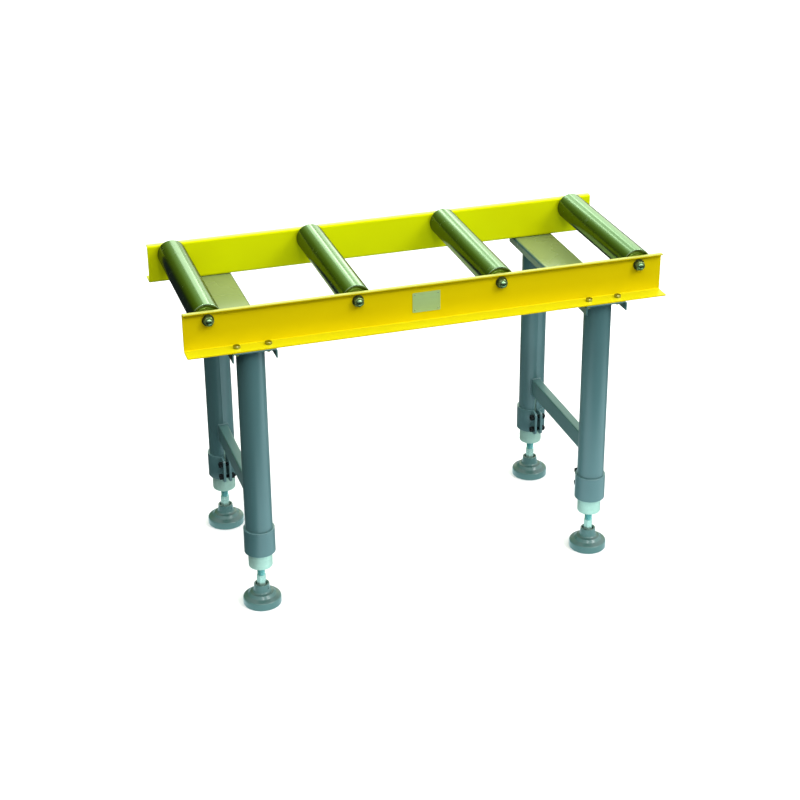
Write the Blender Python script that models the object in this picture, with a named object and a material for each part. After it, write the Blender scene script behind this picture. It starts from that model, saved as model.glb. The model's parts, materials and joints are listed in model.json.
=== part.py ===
"""Roller table for a workshop, as separate pieces at their real size.

Four steel rollers turn on fixed axles between two bent-sheet rails. The rails are bolted to
two leg stands, whose telescopic legs are held by split clamp collars and end in screwed feet.

Metres, +Z up. X runs along the rails, -Y is the front, and z = 0 is the floor.
"""

import math

import bmesh
import bpy
from mathutils import Matrix, Vector

# Clearances
SEAT_GAP = 0.0003
HOLE_CLEARANCE = 0.0005
SLIDE_CLEARANCE = 0.0005

# Facets around a roller, a tube, a shaft, a bearing and a bend
ROLLER_SIDES = 20
TUBE_SIDES = 16
SHAFT_SIDES = 12
BEARING_SIDES = 12
BEND_STEPS = 3

# Side rails
RAIL_LENGTH = 1.000
RAIL_HEIGHT = 0.083
RAIL_SHEET = 0.003
RAIL_BEND = 0.002
RAIL_CLEAR_WIDTH = 0.370
RAIL_FLANGE_REACH = 0.034
RAIL_LIP_REACH = 0.0095

# Rollers and their bearings
ROLLER_COUNT = 4
ROLLER_END_MARGIN = 0.050
ROLLER_DIAMETER = 0.060
ROLLER_WALL = 0.004
ROLLER_SIDE_ROOM = 0.005
ROLLER_ABOVE_RAIL = 0.010
HOUSING_RECESS = 0.006
HOUSING_SHOULDER = 0.003
HOUSING_SHOULDER_REACH = 0.0035
BEARING_DIAMETER = 0.032
BEARING_WIDTH = 0.009

# Axles, with a washer and a nut outside each rail
AXLE_DIAMETER = 0.015
AXLE_THREAD = 0.012
AXLE_WASHER_DIAMETER = 0.024
AXLE_WASHER_THICKNESS = 0.0025
AXLE_NUT_FLATS = 0.018
AXLE_NUT_HEIGHT = 0.009
AXLE_STICK_OUT = 0.004
AXLE_END_ROUND = 0.002

# Leg stands
STAND_FROM_RAIL_END = 0.132
LEG_INSET = 0.0085
LEG_DIAMETER = 0.057
LEG_WALL = 0.003
LEG_LENGTH = 0.468
LEG_SLIT_WIDTH = 0.004
LEG_SLIT_BELOW_BRACE = 0.006
CHANNEL_SHEET = 0.003
CHANNEL_BEND = 0.002
CHANNEL_DEPTH = 0.020
CHANNEL_SIDE_ROOM = 0.0135
CHANNEL_OVERHANG = 0.003
BRACE_WIDTH = 0.020
BRACE_HEIGHT = 0.040
BRACE_WALL = 0.002
BRACE_CORNER = 0.003
BRACE_ABOVE_LEG_END = 0.094

# Flange bolts
BOLT_THREAD = 0.008
BOLT_HEAD_FLATS = 0.013
BOLT_HEAD_HEIGHT = 0.0055
BOLT_NUT_HEIGHT = 0.0065
BOLT_STICK_OUT = 0.003
BOLT_SIDE_ROOM = 0.003
BOLT_FROM_FLANGE_EDGE = 0.019

# Clamp collars and their screws
COLLAR_WALL = 0.004
COLLAR_HEIGHT = 0.0555
EAR_GAP = 0.008
EAR_THICKNESS = 0.005
EAR_EDGE = 0.009
EAR_CORNER = 0.008
SCREW_SPACING = 0.030
SCREW_ROOM = 0.002
SCREW_THREAD = 0.008
SCREW_HEAD_DIAMETER = 0.013
SCREW_HEAD_HEIGHT = 0.008
SCREW_NUT_FLATS = 0.013
SCREW_NUT_HEIGHT = 0.0065
SCREW_STICK_OUT = 0.003

# Telescopic inner tubes
INNER_TUBE_LENGTH = 0.380
INNER_TUBE_WALL = 0.003
INNER_TUBE_SHOWN = 0.0355
INNER_TUBE_EDGE = 0.002
PLUG_THICKNESS = 0.015

# Levelling spindles
SPINDLE_DIAMETER = 0.016
SPINDLE_THREAD_LENGTH = 0.110
SPINDLE_THREAD_SHOWN = 0.0225
SPINDLE_TIP = 0.002
SPINDLE_HEX_FLATS = 0.017
SPINDLE_HEX_SHOWN = 0.021
SPINDLE_HEX_IN_HUB = 0.006
SPINDLE_BALL_DIAMETER = 0.017
SPINDLE_NECK_DIAMETER = 0.011

# Foot pads
FOOT_DIAMETER = 0.080
FOOT_HEIGHT = 0.046
FOOT_RIM_HEIGHT = 0.018
FOOT_RIM_ROUND = 0.003
FOOT_EDGE = 0.0015
FOOT_SHOULDER_HEIGHT = 0.0275
FOOT_HUB_DIAMETER = 0.033
FOOT_HUB_FLARE = 0.0025
FOOT_HUB_EDGE = 0.001
FOOT_FLOOR = 0.012
FOOT_SOCKET_ROOM = 0.0008
FOOT_HOLE_DIAMETER = 0.0035
FOOT_HOLE_BELOW_TOP = 0.010
FOOT_HOLE_AZIMUTH = math.radians(-45)

# Heights, stacked from the floor
INNER_TUBE_BOTTOM = FOOT_HEIGHT + SPINDLE_HEX_SHOWN + SPINDLE_THREAD_SHOWN
LEG_BOTTOM = INNER_TUBE_BOTTOM + INNER_TUBE_SHOWN
CHANNEL_TOP = LEG_BOTTOM + LEG_LENGTH + SEAT_GAP + CHANNEL_SHEET
RAIL_BOTTOM = CHANNEL_TOP + SEAT_GAP
AXLE_DROP = ROLLER_DIAMETER / 2 - ROLLER_ABOVE_RAIL
AXLE_HEIGHT = RAIL_BOTTOM + RAIL_HEIGHT - AXLE_DROP

# Places across the table
WEB_INNER = RAIL_CLEAR_WIDTH / 2
WEB_OUTER = WEB_INNER + RAIL_SHEET
FLANGE_EDGE = WEB_OUTER + RAIL_FLANGE_REACH
LEG_Y = WEB_INNER - LEG_INSET
BOLT_Y = FLANGE_EDGE - BOLT_FROM_FLANGE_EDGE

# Places along the table
STAND_X = RAIL_LENGTH / 2 - STAND_FROM_RAIL_END
CHANNEL_HALF_WIDTH = LEG_DIAMETER / 2 + CHANNEL_SIDE_ROOM + CHANNEL_SHEET
NUT_CORNER = BOLT_HEAD_FLATS / math.sqrt(3)
BOLT_X = CHANNEL_HALF_WIDTH - CHANNEL_SHEET - BOLT_SIDE_ROOM - NUT_CORNER
ROLLER_PITCH = (RAIL_LENGTH - 2 * ROLLER_END_MARGIN) / (ROLLER_COUNT - 1)

# Sizes of fitted pieces
LEG_RADIUS = LEG_DIAMETER / 2
INNER_TUBE_RADIUS = LEG_RADIUS - LEG_WALL - SLIDE_CLEARANCE
COLLAR_INNER = LEG_RADIUS + SEAT_GAP
COLLAR_OUTER = COLLAR_INNER + COLLAR_WALL
SCREW_Y = COLLAR_OUTER + SCREW_ROOM + SCREW_HEAD_DIAMETER / 2
EAR_TIP = SCREW_Y + EAR_EDGE
FOOT_SOCKET_RADIUS = SPINDLE_HEX_FLATS / math.sqrt(3) + FOOT_SOCKET_ROOM

# Turns of a shape built along Z so that it runs along X or Y
ALONG_X = Matrix.Rotation(math.pi / 2, 4, "Y")
ALONG_Y = Matrix.Rotation(-math.pi / 2, 4, "X")

SIDES = {"left": -1, "right": 1}
FACES = {"front": -1, "rear": 1}


def clear_scene():
    """Remove whatever the scene holds."""
    for obj in list(bpy.data.objects):
        bpy.data.objects.remove(obj, do_unlink=True)


def material(name, colour, roughness, metallic):
    """Make a Principled material, once for each name."""
    found = bpy.data.materials.get(name)
    if found:
        return found
    made = bpy.data.materials.new(name)
    made.use_nodes = True
    made.diffuse_color = (*colour, 1.0)
    shader = made.node_tree.nodes["Principled BSDF"]
    shader.inputs["Base Color"].default_value = (*colour, 1.0)
    shader.inputs["Roughness"].default_value = roughness
    shader.inputs["Metallic"].default_value = metallic
    return made


def yellow_paint():
    return material("yellow_paint", (0.78, 0.60, 0.01), 0.35, 0.0)


def grey_paint():
    return material("grey_paint", (0.13, 0.17, 0.18), 0.45, 0.0)


def bright_steel():
    return material("bright_steel", (0.60, 0.62, 0.60), 0.25, 1.0)


def bearing_steel():
    return material("bearing_steel", (0.35, 0.36, 0.36), 0.30, 1.0)


def zinc_plate():
    return material("zinc_plate", (0.66, 0.70, 0.70), 0.35, 1.0)


def black_oxide():
    return material("black_oxide", (0.02, 0.02, 0.02), 0.45, 0.6)


def cast_grey():
    return material("cast_grey", (0.17, 0.22, 0.22), 0.50, 0.0)


def empty(name, parent, location):
    """Add an empty that carries a sub-assembly or marks a joint."""
    marker = bpy.data.objects.new(name, None)
    marker.parent = parent
    marker.location = location
    bpy.context.collection.objects.link(marker)
    return marker


def add(name, shape, finish, parent, location=(0, 0, 0)):
    """Turn a bmesh into a named object under its parent."""
    bmesh.ops.recalc_face_normals(shape, faces=shape.faces)
    mesh = bpy.data.meshes.new(name)
    shape.to_mesh(mesh)
    shape.free()
    mesh.shade_smooth()
    mesh.set_sharp_from_angle(angle=math.radians(35))
    if finish:
        mesh.materials.append(finish)
    obj = bpy.data.objects.new(name, mesh)
    obj.parent = parent
    obj.location = location
    bpy.context.collection.objects.link(obj)
    return obj


def cut(target, name, shape):
    """Cut a shape, given in the target's own coordinates, out of the target."""
    cutter = add(name, shape, None, target.parent, target.location)
    cutter.hide_render = True
    cutter.display_type = "WIRE"
    modifier = target.modifiers.new(name, "BOOLEAN")
    modifier.operation = "DIFFERENCE"
    modifier.solver = "EXACT"
    modifier.object = cutter


def turned(profile, sides, turn=None):
    """Revolve a closed profile of (radius, height) points about Z."""
    shape = bmesh.new()
    points = [shape.verts.new((radius, 0, height)) for radius, height in profile]
    edges = [shape.edges.new(pair) for pair in zip(points, points[1:] + points[:1])]
    bmesh.ops.spin(
        shape,
        geom=points + edges,
        cent=(0, 0, 0),
        axis=(0, 0, 1),
        angle=math.tau,
        steps=sides,
        use_merge=True,
    )
    bmesh.ops.remove_doubles(shape, verts=shape.verts, dist=1e-6)
    if turn:
        bmesh.ops.transform(shape, matrix=turn, verts=shape.verts)
    return shape


def round_ring(radius, height):
    """Points of a round section."""
    angles = [math.tau * i / SHAFT_SIDES for i in range(SHAFT_SIDES)]
    return [(radius * math.cos(a), radius * math.sin(a), height) for a in angles]


def hex_ring(flats, height):
    """Points of a hexagon section, as many as a round one has."""
    points = []
    for i in range(SHAFT_SIDES):
        angle = math.tau * i / SHAFT_SIDES
        from_flat = angle % (math.tau / 6) - math.tau / 12
        radius = flats / 2 / math.cos(from_flat)
        points.append((radius * math.cos(angle), radius * math.sin(angle), height))
    return points


def lofted(rings, turn=None):
    """Join sections of equal point count, in order, and close both ends."""
    shape = bmesh.new()
    loops = [[shape.verts.new(point) for point in ring] for ring in rings]
    for low, high in zip(loops, loops[1:]):
        for i, j in zip(range(len(low)), [*range(1, len(low)), 0]):
            shape.faces.new((low[i], low[j], high[j], high[i]))
    shape.faces.new(loops[0])
    shape.faces.new(loops[-1])
    if turn:
        bmesh.ops.transform(shape, matrix=turn, verts=shape.verts)
    return shape


def prism(outline, length, turn=None):
    """Extrude a closed outline of (x, y) points up from z = 0."""
    shape = bmesh.new()
    face = shape.faces.new([shape.verts.new((x, y, 0)) for x, y in outline])
    grown = bmesh.ops.extrude_face_region(shape, geom=[face])
    moved = [item for item in grown["geom"] if isinstance(item, bmesh.types.BMVert)]
    bmesh.ops.translate(shape, verts=moved, vec=(0, 0, length))
    if turn:
        bmesh.ops.transform(shape, matrix=turn, verts=shape.verts)
    return shape


def joined(shapes):
    """Put several separate shapes into one mesh, as a pattern of cutters."""
    whole = bmesh.new()
    for shape in shapes:
        mesh = bpy.data.meshes.new("pattern")
        shape.to_mesh(mesh)
        shape.free()
        whole.from_mesh(mesh)
        bpy.data.meshes.remove(mesh)
    return whole


def drilled(radius, start, length, turn=None):
    """A round cutter that starts at a point and runs along the turned Z axis."""
    move = Matrix.Translation(Vector(start)) @ (turn or Matrix.Identity(4))
    return lofted([round_ring(radius, 0), round_ring(radius, length)], move)


def arc(centre, radius, start, end, steps):
    """Points of an arc, both ends included."""
    angles = [start + (end - start) * i / steps for i in range(steps + 1)]
    return [(centre[0] + radius * math.cos(a), centre[1] + radius * math.sin(a)) for a in angles]


def bent_strip(path, sheet, bend):
    """Outline of sheet metal bent along a path of right-angled corners at mid thickness."""
    points = [Vector(point) for point in path]
    left = []
    right = []
    first = (points[1] - points[0]).normalized().orthogonal()
    left.append(points[0] + first * sheet / 2)
    right.append(points[0] - first * sheet / 2)
    for before, corner, after in zip(points, points[1:], points[2:]):
        into = (corner - before).normalized()
        away = (after - corner).normalized()
        mid_radius = bend + sheet / 2
        centre = corner - into * mid_radius + away * mid_radius
        turns_left = into.cross(away) > 0
        start = math.atan2(*(-away).yx)
        sweep = math.pi / 2 if turns_left else -math.pi / 2
        inside = arc(centre, bend, start, start + sweep, BEND_STEPS)
        outside = arc(centre, bend + sheet, start, start + sweep, BEND_STEPS)
        left.extend(inside if turns_left else outside)
        right.extend(outside if turns_left else inside)
    last = (points[-1] - points[-2]).normalized().orthogonal()
    left.append(points[-1] + last * sheet / 2)
    right.append(points[-1] - last * sheet / 2)
    return [tuple(point) for point in left + right[::-1]]


def rounded_rectangle(width, height, corner):
    """Outline of a rectangle with rounded corners, centred on the origin."""
    points = []
    for i, (across, up) in enumerate([(1, 1), (-1, 1), (-1, -1), (1, -1)]):
        centre = (across * (width / 2 - corner), up * (height / 2 - corner))
        points.extend(arc(centre, corner, i * math.pi / 2, (i + 1) * math.pi / 2, BEND_STEPS))
    return points


def roller_places():
    """Positions of the roller axes along the rails."""
    first = -ROLLER_PITCH * (ROLLER_COUNT - 1) / 2
    return [first + ROLLER_PITCH * i for i in range(ROLLER_COUNT)]


def bolt_places():
    """Positions of the flange bolts along one rail."""
    return [side * STAND_X + end * BOLT_X for side in SIDES.values() for end in (-1, 1)]


def make_rail(face, facing, table):
    """A bent rail: web upright, short lip at the top and wide flange at the bottom, both outward."""
    mid = facing * (WEB_INNER + RAIL_SHEET / 2)
    low = RAIL_SHEET / 2
    high = RAIL_HEIGHT - RAIL_SHEET / 2
    path = [
        (facing * FLANGE_EDGE, low),
        (mid, low),
        (mid, high),
        (facing * (WEB_OUTER + RAIL_LIP_REACH), high),
    ]
    along_x = Matrix(((0, 0, 1, -RAIL_LENGTH / 2), (1, 0, 0, 0), (0, 1, 0, 0), (0, 0, 0, 1)))
    section = bent_strip(path, RAIL_SHEET, RAIL_BEND)
    rail = add(
        f"{face}_side_rail",
        prism(section, RAIL_LENGTH, along_x),
        yellow_paint(),
        table,
        (0, 0, RAIL_BOTTOM),
    )
    axle_hole = AXLE_THREAD / 2 + HOLE_CLEARANCE
    through = 3 * RAIL_SHEET
    axle_start = mid - through / 2
    holes = [
        drilled(axle_hole, (x, axle_start, RAIL_HEIGHT - AXLE_DROP), through, ALONG_Y)
        for x in roller_places()
    ]
    bolt_hole = BOLT_THREAD / 2 + HOLE_CLEARANCE
    holes += [drilled(bolt_hole, (x, facing * BOLT_Y, -RAIL_SHEET), through) for x in bolt_places()]
    cut(rail, f"{face}_rail_holes", joined(holes))


def roller_profile():
    """Half section of a roller: tube, and at each end a recessed housing with a bearing seat."""
    outer = ROLLER_DIAMETER / 2
    inner = outer - ROLLER_WALL
    end = RAIL_CLEAR_WIDTH / 2 - ROLLER_SIDE_ROOM
    face = end - HOUSING_RECESS
    seat = (BEARING_DIAMETER / 2 + SEAT_GAP) / math.cos(math.pi / ROLLER_SIDES)
    stop = face - BEARING_WIDTH - SEAT_GAP
    back = stop - HOUSING_SHOULDER
    bore = BEARING_DIAMETER / 2 - HOUSING_SHOULDER_REACH
    half = [
        (outer, end),
        (inner, end),
        (inner, face),
        (seat, face),
        (seat, stop),
        (bore, stop),
        (bore, back),
        (inner, back),
    ]
    return half + [(radius, -y) for radius, y in reversed(half)]


def bearing_profile():
    """Half section of a bearing, as one ring with its outer face at the top."""
    bore = (AXLE_DIAMETER / 2 + SEAT_GAP) / math.cos(math.pi / BEARING_SIDES)
    outer = BEARING_DIAMETER / 2
    return [(outer, BEARING_WIDTH), (outer, 0), (bore, 0), (bore, BEARING_WIDTH)]


def axle_shape():
    """A fixed axle along Y, shouldered between the webs, with the washer and nut at each end."""
    washer = WEB_OUTER + SEAT_GAP
    nut = washer + AXLE_WASHER_THICKNESS
    nut_end = nut + AXLE_NUT_HEIGHT
    tip = nut_end + AXLE_STICK_OUT
    thread = AXLE_THREAD / 2
    half = [
        (round_ring, thread - AXLE_END_ROUND, tip),
        (round_ring, thread, tip - AXLE_END_ROUND),
        (round_ring, thread, nut_end),
        (hex_ring, AXLE_NUT_FLATS, nut_end),
        (hex_ring, AXLE_NUT_FLATS, nut),
        (round_ring, AXLE_WASHER_DIAMETER / 2, nut),
        (round_ring, AXLE_WASHER_DIAMETER / 2, washer),
        (round_ring, thread, washer),
        (round_ring, thread, WEB_INNER - SEAT_GAP),
        (round_ring, AXLE_DIAMETER / 2, WEB_INNER - SEAT_GAP),
    ]
    rings = [ring(size, y) for ring, size, y in half]
    rings += [ring(size, -y) for ring, size, y in reversed(half)]
    return lofted(rings, ALONG_Y)


def make_rollers(table):
    """The rollers, each on an empty at its axis, and the axles that carry them."""
    bearing_face = RAIL_CLEAR_WIDTH / 2 - ROLLER_SIDE_ROOM - HOUSING_RECESS
    for number, x in enumerate(roller_places(), start=1):
        pivot = empty(f"roller_{number}_pivot", table, (x, 0, AXLE_HEIGHT))
        shell = turned(roller_profile(), ROLLER_SIDES, ALONG_Y)
        add(f"roller_shell_{number}", shell, bright_steel(), pivot)
        for face, facing in FACES.items():
            turn = ALONG_Y if facing > 0 else ALONG_Y.inverted()
            bearing = turned(bearing_profile(), BEARING_SIDES, turn)
            place = (0, facing * (bearing_face - BEARING_WIDTH), 0)
            add(f"{face}_bearing_{number}", bearing, bearing_steel(), pivot, place)
        add(f"roller_axle_{number}", axle_shape(), bright_steel(), table, (x, 0, AXLE_HEIGHT))


def make_cross_channel(side, stand):
    """A channel across the stand, open below, with holes for the flange bolts."""
    mid = CHANNEL_HALF_WIDTH - CHANNEL_SHEET / 2
    top = -CHANNEL_SHEET / 2
    path = [(-mid, -CHANNEL_DEPTH), (-mid, top), (mid, top), (mid, -CHANNEL_DEPTH)]
    half_length = FLANGE_EDGE + CHANNEL_OVERHANG
    along_y = Matrix(((1, 0, 0, 0), (0, 0, 1, -half_length), (0, 1, 0, 0), (0, 0, 0, 1)))
    section = bent_strip(path, CHANNEL_SHEET, CHANNEL_BEND)
    channel = add(
        f"{side}_cross_channel",
        prism(section, 2 * half_length, along_y),
        grey_paint(),
        stand,
        (0, 0, CHANNEL_TOP),
    )
    hole = BOLT_THREAD / 2 + HOLE_CLEARANCE
    through = 3 * CHANNEL_SHEET
    holes = [
        drilled(hole, (end * BOLT_X, facing * BOLT_Y, -2 * CHANNEL_SHEET), through)
        for end in (-1, 1)
        for facing in FACES.values()
    ]
    cut(channel, f"{side}_channel_holes", joined(holes))


def make_brace(side, stand):
    """A rectangular tube between the legs, with its ends cut to their curve."""
    along_y = Matrix(((1, 0, 0, 0), (0, 0, 1, -LEG_Y), (0, 1, 0, 0), (0, 0, 0, 1)))
    outline = rounded_rectangle(BRACE_WIDTH, BRACE_HEIGHT, BRACE_CORNER)
    inside = rounded_rectangle(
        BRACE_WIDTH - 2 * BRACE_WALL, BRACE_HEIGHT - 2 * BRACE_WALL, BRACE_CORNER - BRACE_WALL
    )
    height = LEG_BOTTOM + BRACE_ABOVE_LEG_END + BRACE_HEIGHT / 2
    brace = add(
        f"{side}_brace", prism(outline, 2 * LEG_Y, along_y), grey_paint(), stand, (0, 0, height)
    )
    past = Matrix.Translation((0, -LEG_RADIUS, 0))
    bore = prism(inside, 2 * (LEG_Y + LEG_RADIUS), past @ along_y)
    cut(brace, f"{side}_brace_bore", bore)
    saddle_radius = LEG_RADIUS + SEAT_GAP
    profile = [(saddle_radius, BRACE_HEIGHT), (saddle_radius, -BRACE_HEIGHT)]
    profile += [(0, -BRACE_HEIGHT), (0, BRACE_HEIGHT)]
    saddles = [
        turned(profile, TUBE_SIDES, Matrix.Translation((0, facing * LEG_Y, 0)))
        for facing in FACES.values()
    ]
    cut(brace, f"{side}_brace_saddles", joined(saddles))


def make_flange_bolts(side, stand):
    """Hexagon bolts down through rail flange and channel, each with its nut."""
    head = RAIL_BOTTOM + RAIL_SHEET + SEAT_GAP
    nut = CHANNEL_TOP - CHANNEL_SHEET - SEAT_GAP
    nut_end = nut - BOLT_NUT_HEIGHT
    shank = BOLT_THREAD / 2
    sections = [
        hex_ring(BOLT_HEAD_FLATS, head + BOLT_HEAD_HEIGHT),
        hex_ring(BOLT_HEAD_FLATS, head),
        round_ring(shank, head),
        round_ring(shank, nut),
        hex_ring(BOLT_HEAD_FLATS, nut),
        hex_ring(BOLT_HEAD_FLATS, nut_end),
        round_ring(shank, nut_end),
        round_ring(shank, nut_end - BOLT_STICK_OUT),
    ]
    for face, facing in FACES.items():
        for end, along in SIDES.items():
            name = f"{face}_{side}_flange_bolt_{end}"
            place = (along * BOLT_X, facing * BOLT_Y, 0)
            add(name, lofted(sections), bright_steel(), stand, place)


def collar_outline(inward):
    """Plan of a split sleeve whose two ears point along Y, to the stand's middle."""
    half_gap = EAR_GAP / 2
    ear_side = half_gap + EAR_THICKNESS
    middle = inward * math.pi / 2
    flat_inner = COLLAR_INNER / math.cos(math.pi / TUBE_SIDES)
    inner_end = math.asin(half_gap / flat_inner)
    outer_end = math.asin(ear_side / COLLAR_OUTER)
    full_turn = inward * math.tau
    inside = arc(
        (0, 0), flat_inner, middle - inward * inner_end + full_turn, middle + inward * inner_end, TUBE_SIDES
    )
    outside = arc(
        (0, 0), COLLAR_OUTER, middle + inward * outer_end, middle - inward * outer_end + full_turn, TUBE_SIDES
    )
    tip = inward * EAR_TIP
    first_ear = [(-half_gap, tip), (-ear_side, tip)]
    second_ear = [(ear_side, tip), (half_gap, tip)]
    return first_ear + outside + second_ear + inside


def make_collar(name, inward, stand, leg_y):
    """A clamp collar on the slit end of a leg, with its ears rounded and drilled."""
    shape = prism(collar_outline(inward), COLLAR_HEIGHT)
    tip_edges = []
    for edge in shape.edges:
        along = edge.verts[1].co - edge.verts[0].co
        at_tip = all(abs(vert.co.y - inward * EAR_TIP) < SEAT_GAP for vert in edge.verts)
        if at_tip and abs(along.x) > abs(along.z):
            tip_edges.append(edge)
    bmesh.ops.bevel(
        shape, geom=tip_edges, offset=EAR_CORNER, segments=BEND_STEPS, profile=0.5, affect="EDGES"
    )
    collar = add(f"{name}_clamp_collar", shape, grey_paint(), stand, (0, leg_y, LEG_BOTTOM))
    width = 2 * (EAR_GAP + EAR_THICKNESS)
    hole = SCREW_THREAD / 2 + HOLE_CLEARANCE
    holes = [
        drilled(hole, (-width / 2, inward * SCREW_Y, height), width, ALONG_X)
        for height in screw_heights()
    ]
    cut(collar, f"{name}_ear_holes", joined(holes))


def screw_heights():
    """Heights of the two clamp screws above a collar's lower edge."""
    return [COLLAR_HEIGHT / 2 + step * SCREW_SPACING / 2 for step in (-1, 1)]


def make_clamp_screws(name, inward, stand, leg_y):
    """Two socket-head screws along X through the ears, each with its nut."""
    seat = EAR_GAP / 2 + EAR_THICKNESS + SEAT_GAP
    shank = SCREW_THREAD / 2
    head = SCREW_HEAD_DIAMETER / 2
    head_end = -seat - SCREW_HEAD_HEIGHT
    nut_end = seat + SCREW_NUT_HEIGHT
    sections = [
        round_ring(head, head_end),
        round_ring(head, -seat),
        round_ring(shank, -seat),
        round_ring(shank, seat),
        hex_ring(SCREW_NUT_FLATS, seat),
        hex_ring(SCREW_NUT_FLATS, nut_end),
        round_ring(shank, nut_end),
        round_ring(shank, nut_end + SCREW_STICK_OUT),
    ]
    for level, height in zip(("lower", "upper"), screw_heights()):
        place = (0, leg_y + inward * SCREW_Y, LEG_BOTTOM + height)
        screw = lofted(sections, ALONG_X)
        add(f"{name}_clamp_screw_{level}", screw, black_oxide(), stand, place)


def make_leg_tube(name, inward, stand, leg_y):
    """A round leg, slit on its inner side so that the collar can close it."""
    inner = LEG_RADIUS - LEG_WALL
    profile = [(LEG_RADIUS, LEG_LENGTH), (LEG_RADIUS, 0), (inner, 0), (inner, LEG_LENGTH)]
    leg = add(
        f"{name}_leg_tube", turned(profile, TUBE_SIDES), grey_paint(), stand, (0, leg_y, LEG_BOTTOM)
    )
    slit_top = BRACE_ABOVE_LEG_END - LEG_SLIT_BELOW_BRACE
    half = LEG_SLIT_WIDTH / 2
    far = inward * LEG_DIAMETER
    slit = prism([(-half, 0), (half, 0), (half, far), (-half, far)], slit_top + COLLAR_HEIGHT)
    bmesh.ops.translate(slit, verts=slit.verts, vec=(0, 0, -COLLAR_HEIGHT))
    cut(leg, f"{name}_leg_slit", slit)


def make_inner_tube(name, slide):
    """The telescopic tube, with a plug in its lower end that takes the spindle."""
    outer = INNER_TUBE_RADIUS
    inner = outer - INNER_TUBE_WALL
    bore = (SPINDLE_DIAMETER / 2 + SEAT_GAP) / math.cos(math.pi / TUBE_SIDES)
    profile = [
        (outer, INNER_TUBE_LENGTH),
        (outer, INNER_TUBE_EDGE),
        (outer - INNER_TUBE_EDGE, 0),
        (bore, 0),
        (bore, PLUG_THICKNESS),
        (inner, PLUG_THICKNESS),
        (inner, INNER_TUBE_LENGTH),
    ]
    add(f"{name}_inner_tube", turned(profile, TUBE_SIDES), zinc_plate(), slide)


def make_spindle(name, level):
    """The levelling screw: ball end, neck, hexagon and thread, standing in the foot's socket."""
    ball = SPINDLE_BALL_DIAMETER / 2
    neck = SPINDLE_NECK_DIAMETER / 2
    neck_angle = math.acos(neck / ball)
    ball_centre = FOOT_FLOOR + SEAT_GAP + ball * math.sin(neck_angle)
    ball_points = arc((0, ball_centre), ball, -neck_angle, neck_angle, BEND_STEPS)
    hex_low = FOOT_HEIGHT - SPINDLE_HEX_IN_HUB
    hex_high = FOOT_HEIGHT + SPINDLE_HEX_SHOWN
    top = hex_high + SPINDLE_THREAD_LENGTH
    thread = SPINDLE_DIAMETER / 2
    sections = [round_ring(radius, height) for radius, height in ball_points]
    sections += [
        round_ring(neck, hex_low),
        hex_ring(SPINDLE_HEX_FLATS, hex_low),
        hex_ring(SPINDLE_HEX_FLATS, hex_high),
        round_ring(thread, hex_high),
        round_ring(thread, top - SPINDLE_TIP),
        round_ring(thread - SPINDLE_TIP, top),
    ]
    add(f"{name}_spindle", lofted(sections), zinc_plate(), level)


def make_foot(name, level):
    """A turned foot pad with a rounded rim, a sloping shoulder and a socketed hub."""
    outer = FOOT_DIAMETER / 2
    hub = FOOT_HUB_DIAMETER / 2
    rim_centre = (outer - FOOT_RIM_ROUND, FOOT_RIM_HEIGHT - FOOT_RIM_ROUND)
    profile = [(0, 0), (outer - FOOT_EDGE, 0), (outer, FOOT_EDGE)]
    profile += arc(rim_centre, FOOT_RIM_ROUND, 0, math.pi / 2, BEND_STEPS)
    profile += [
        (hub + FOOT_HUB_FLARE, FOOT_SHOULDER_HEIGHT),
        (hub, FOOT_SHOULDER_HEIGHT + FOOT_HUB_FLARE),
        (hub, FOOT_HEIGHT - FOOT_HUB_EDGE),
        (hub - FOOT_HUB_EDGE, FOOT_HEIGHT),
        (FOOT_SOCKET_RADIUS, FOOT_HEIGHT),
        (FOOT_SOCKET_RADIUS, FOOT_FLOOR),
        (0, FOOT_FLOOR),
    ]
    foot = add(f"{name}_foot_pad", turned(profile, TUBE_SIDES), cast_grey(), level)
    turn = Matrix.Rotation(FOOT_HOLE_AZIMUTH, 4, "Z") @ ALONG_X
    start = (0, 0, FOOT_HEIGHT - FOOT_HOLE_BELOW_TOP)
    cut(foot, f"{name}_hub_hole", drilled(FOOT_HOLE_DIAMETER / 2, start, FOOT_HUB_DIAMETER, turn))


def make_leg(name, facing, stand):
    """One leg of a stand, from its fixed tube down to the foot."""
    leg_y = facing * LEG_Y
    inward = -facing
    make_leg_tube(name, inward, stand, leg_y)
    make_collar(name, inward, stand, leg_y)
    make_clamp_screws(name, inward, stand, leg_y)
    slide = empty(f"{name}_leg_slide", stand, (0, leg_y, INNER_TUBE_BOTTOM))
    make_inner_tube(name, slide)
    level = empty(f"{name}_foot_level", slide, (0, 0, -INNER_TUBE_BOTTOM))
    make_spindle(name, level)
    make_foot(name, level)


def main():
    clear_scene()
    table = empty("roller_table", None, (0, 0, 0))
    for face, facing in FACES.items():
        make_rail(face, facing, table)
    make_rollers(table)
    for side, along in SIDES.items():
        stand = empty(f"{side}_stand", table, (along * STAND_X, 0, 0))
        make_cross_channel(side, stand)
        make_brace(side, stand)
        make_flange_bolts(side, stand)
        for face, facing in FACES.items():
            make_leg(f"{face}_{side}", facing, stand)


if __name__ == "__main__":
    main()
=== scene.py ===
"""Finishes and fine shapes of a workshop roller table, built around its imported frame.

Each CAD piece that shows gets a finer surface worked out with numpy. It takes the same place and
rides on the same body. Metres, +Z up, X along the rails, -Y the front and z = 0 the floor.
"""

from __future__ import annotations

import json
import logging
import math
from collections.abc import Sequence
from dataclasses import dataclass, field
from enum import Enum
from functools import cache

import bmesh
import bpy
import numpy as np
from mathutils import Matrix, Vector

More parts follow.
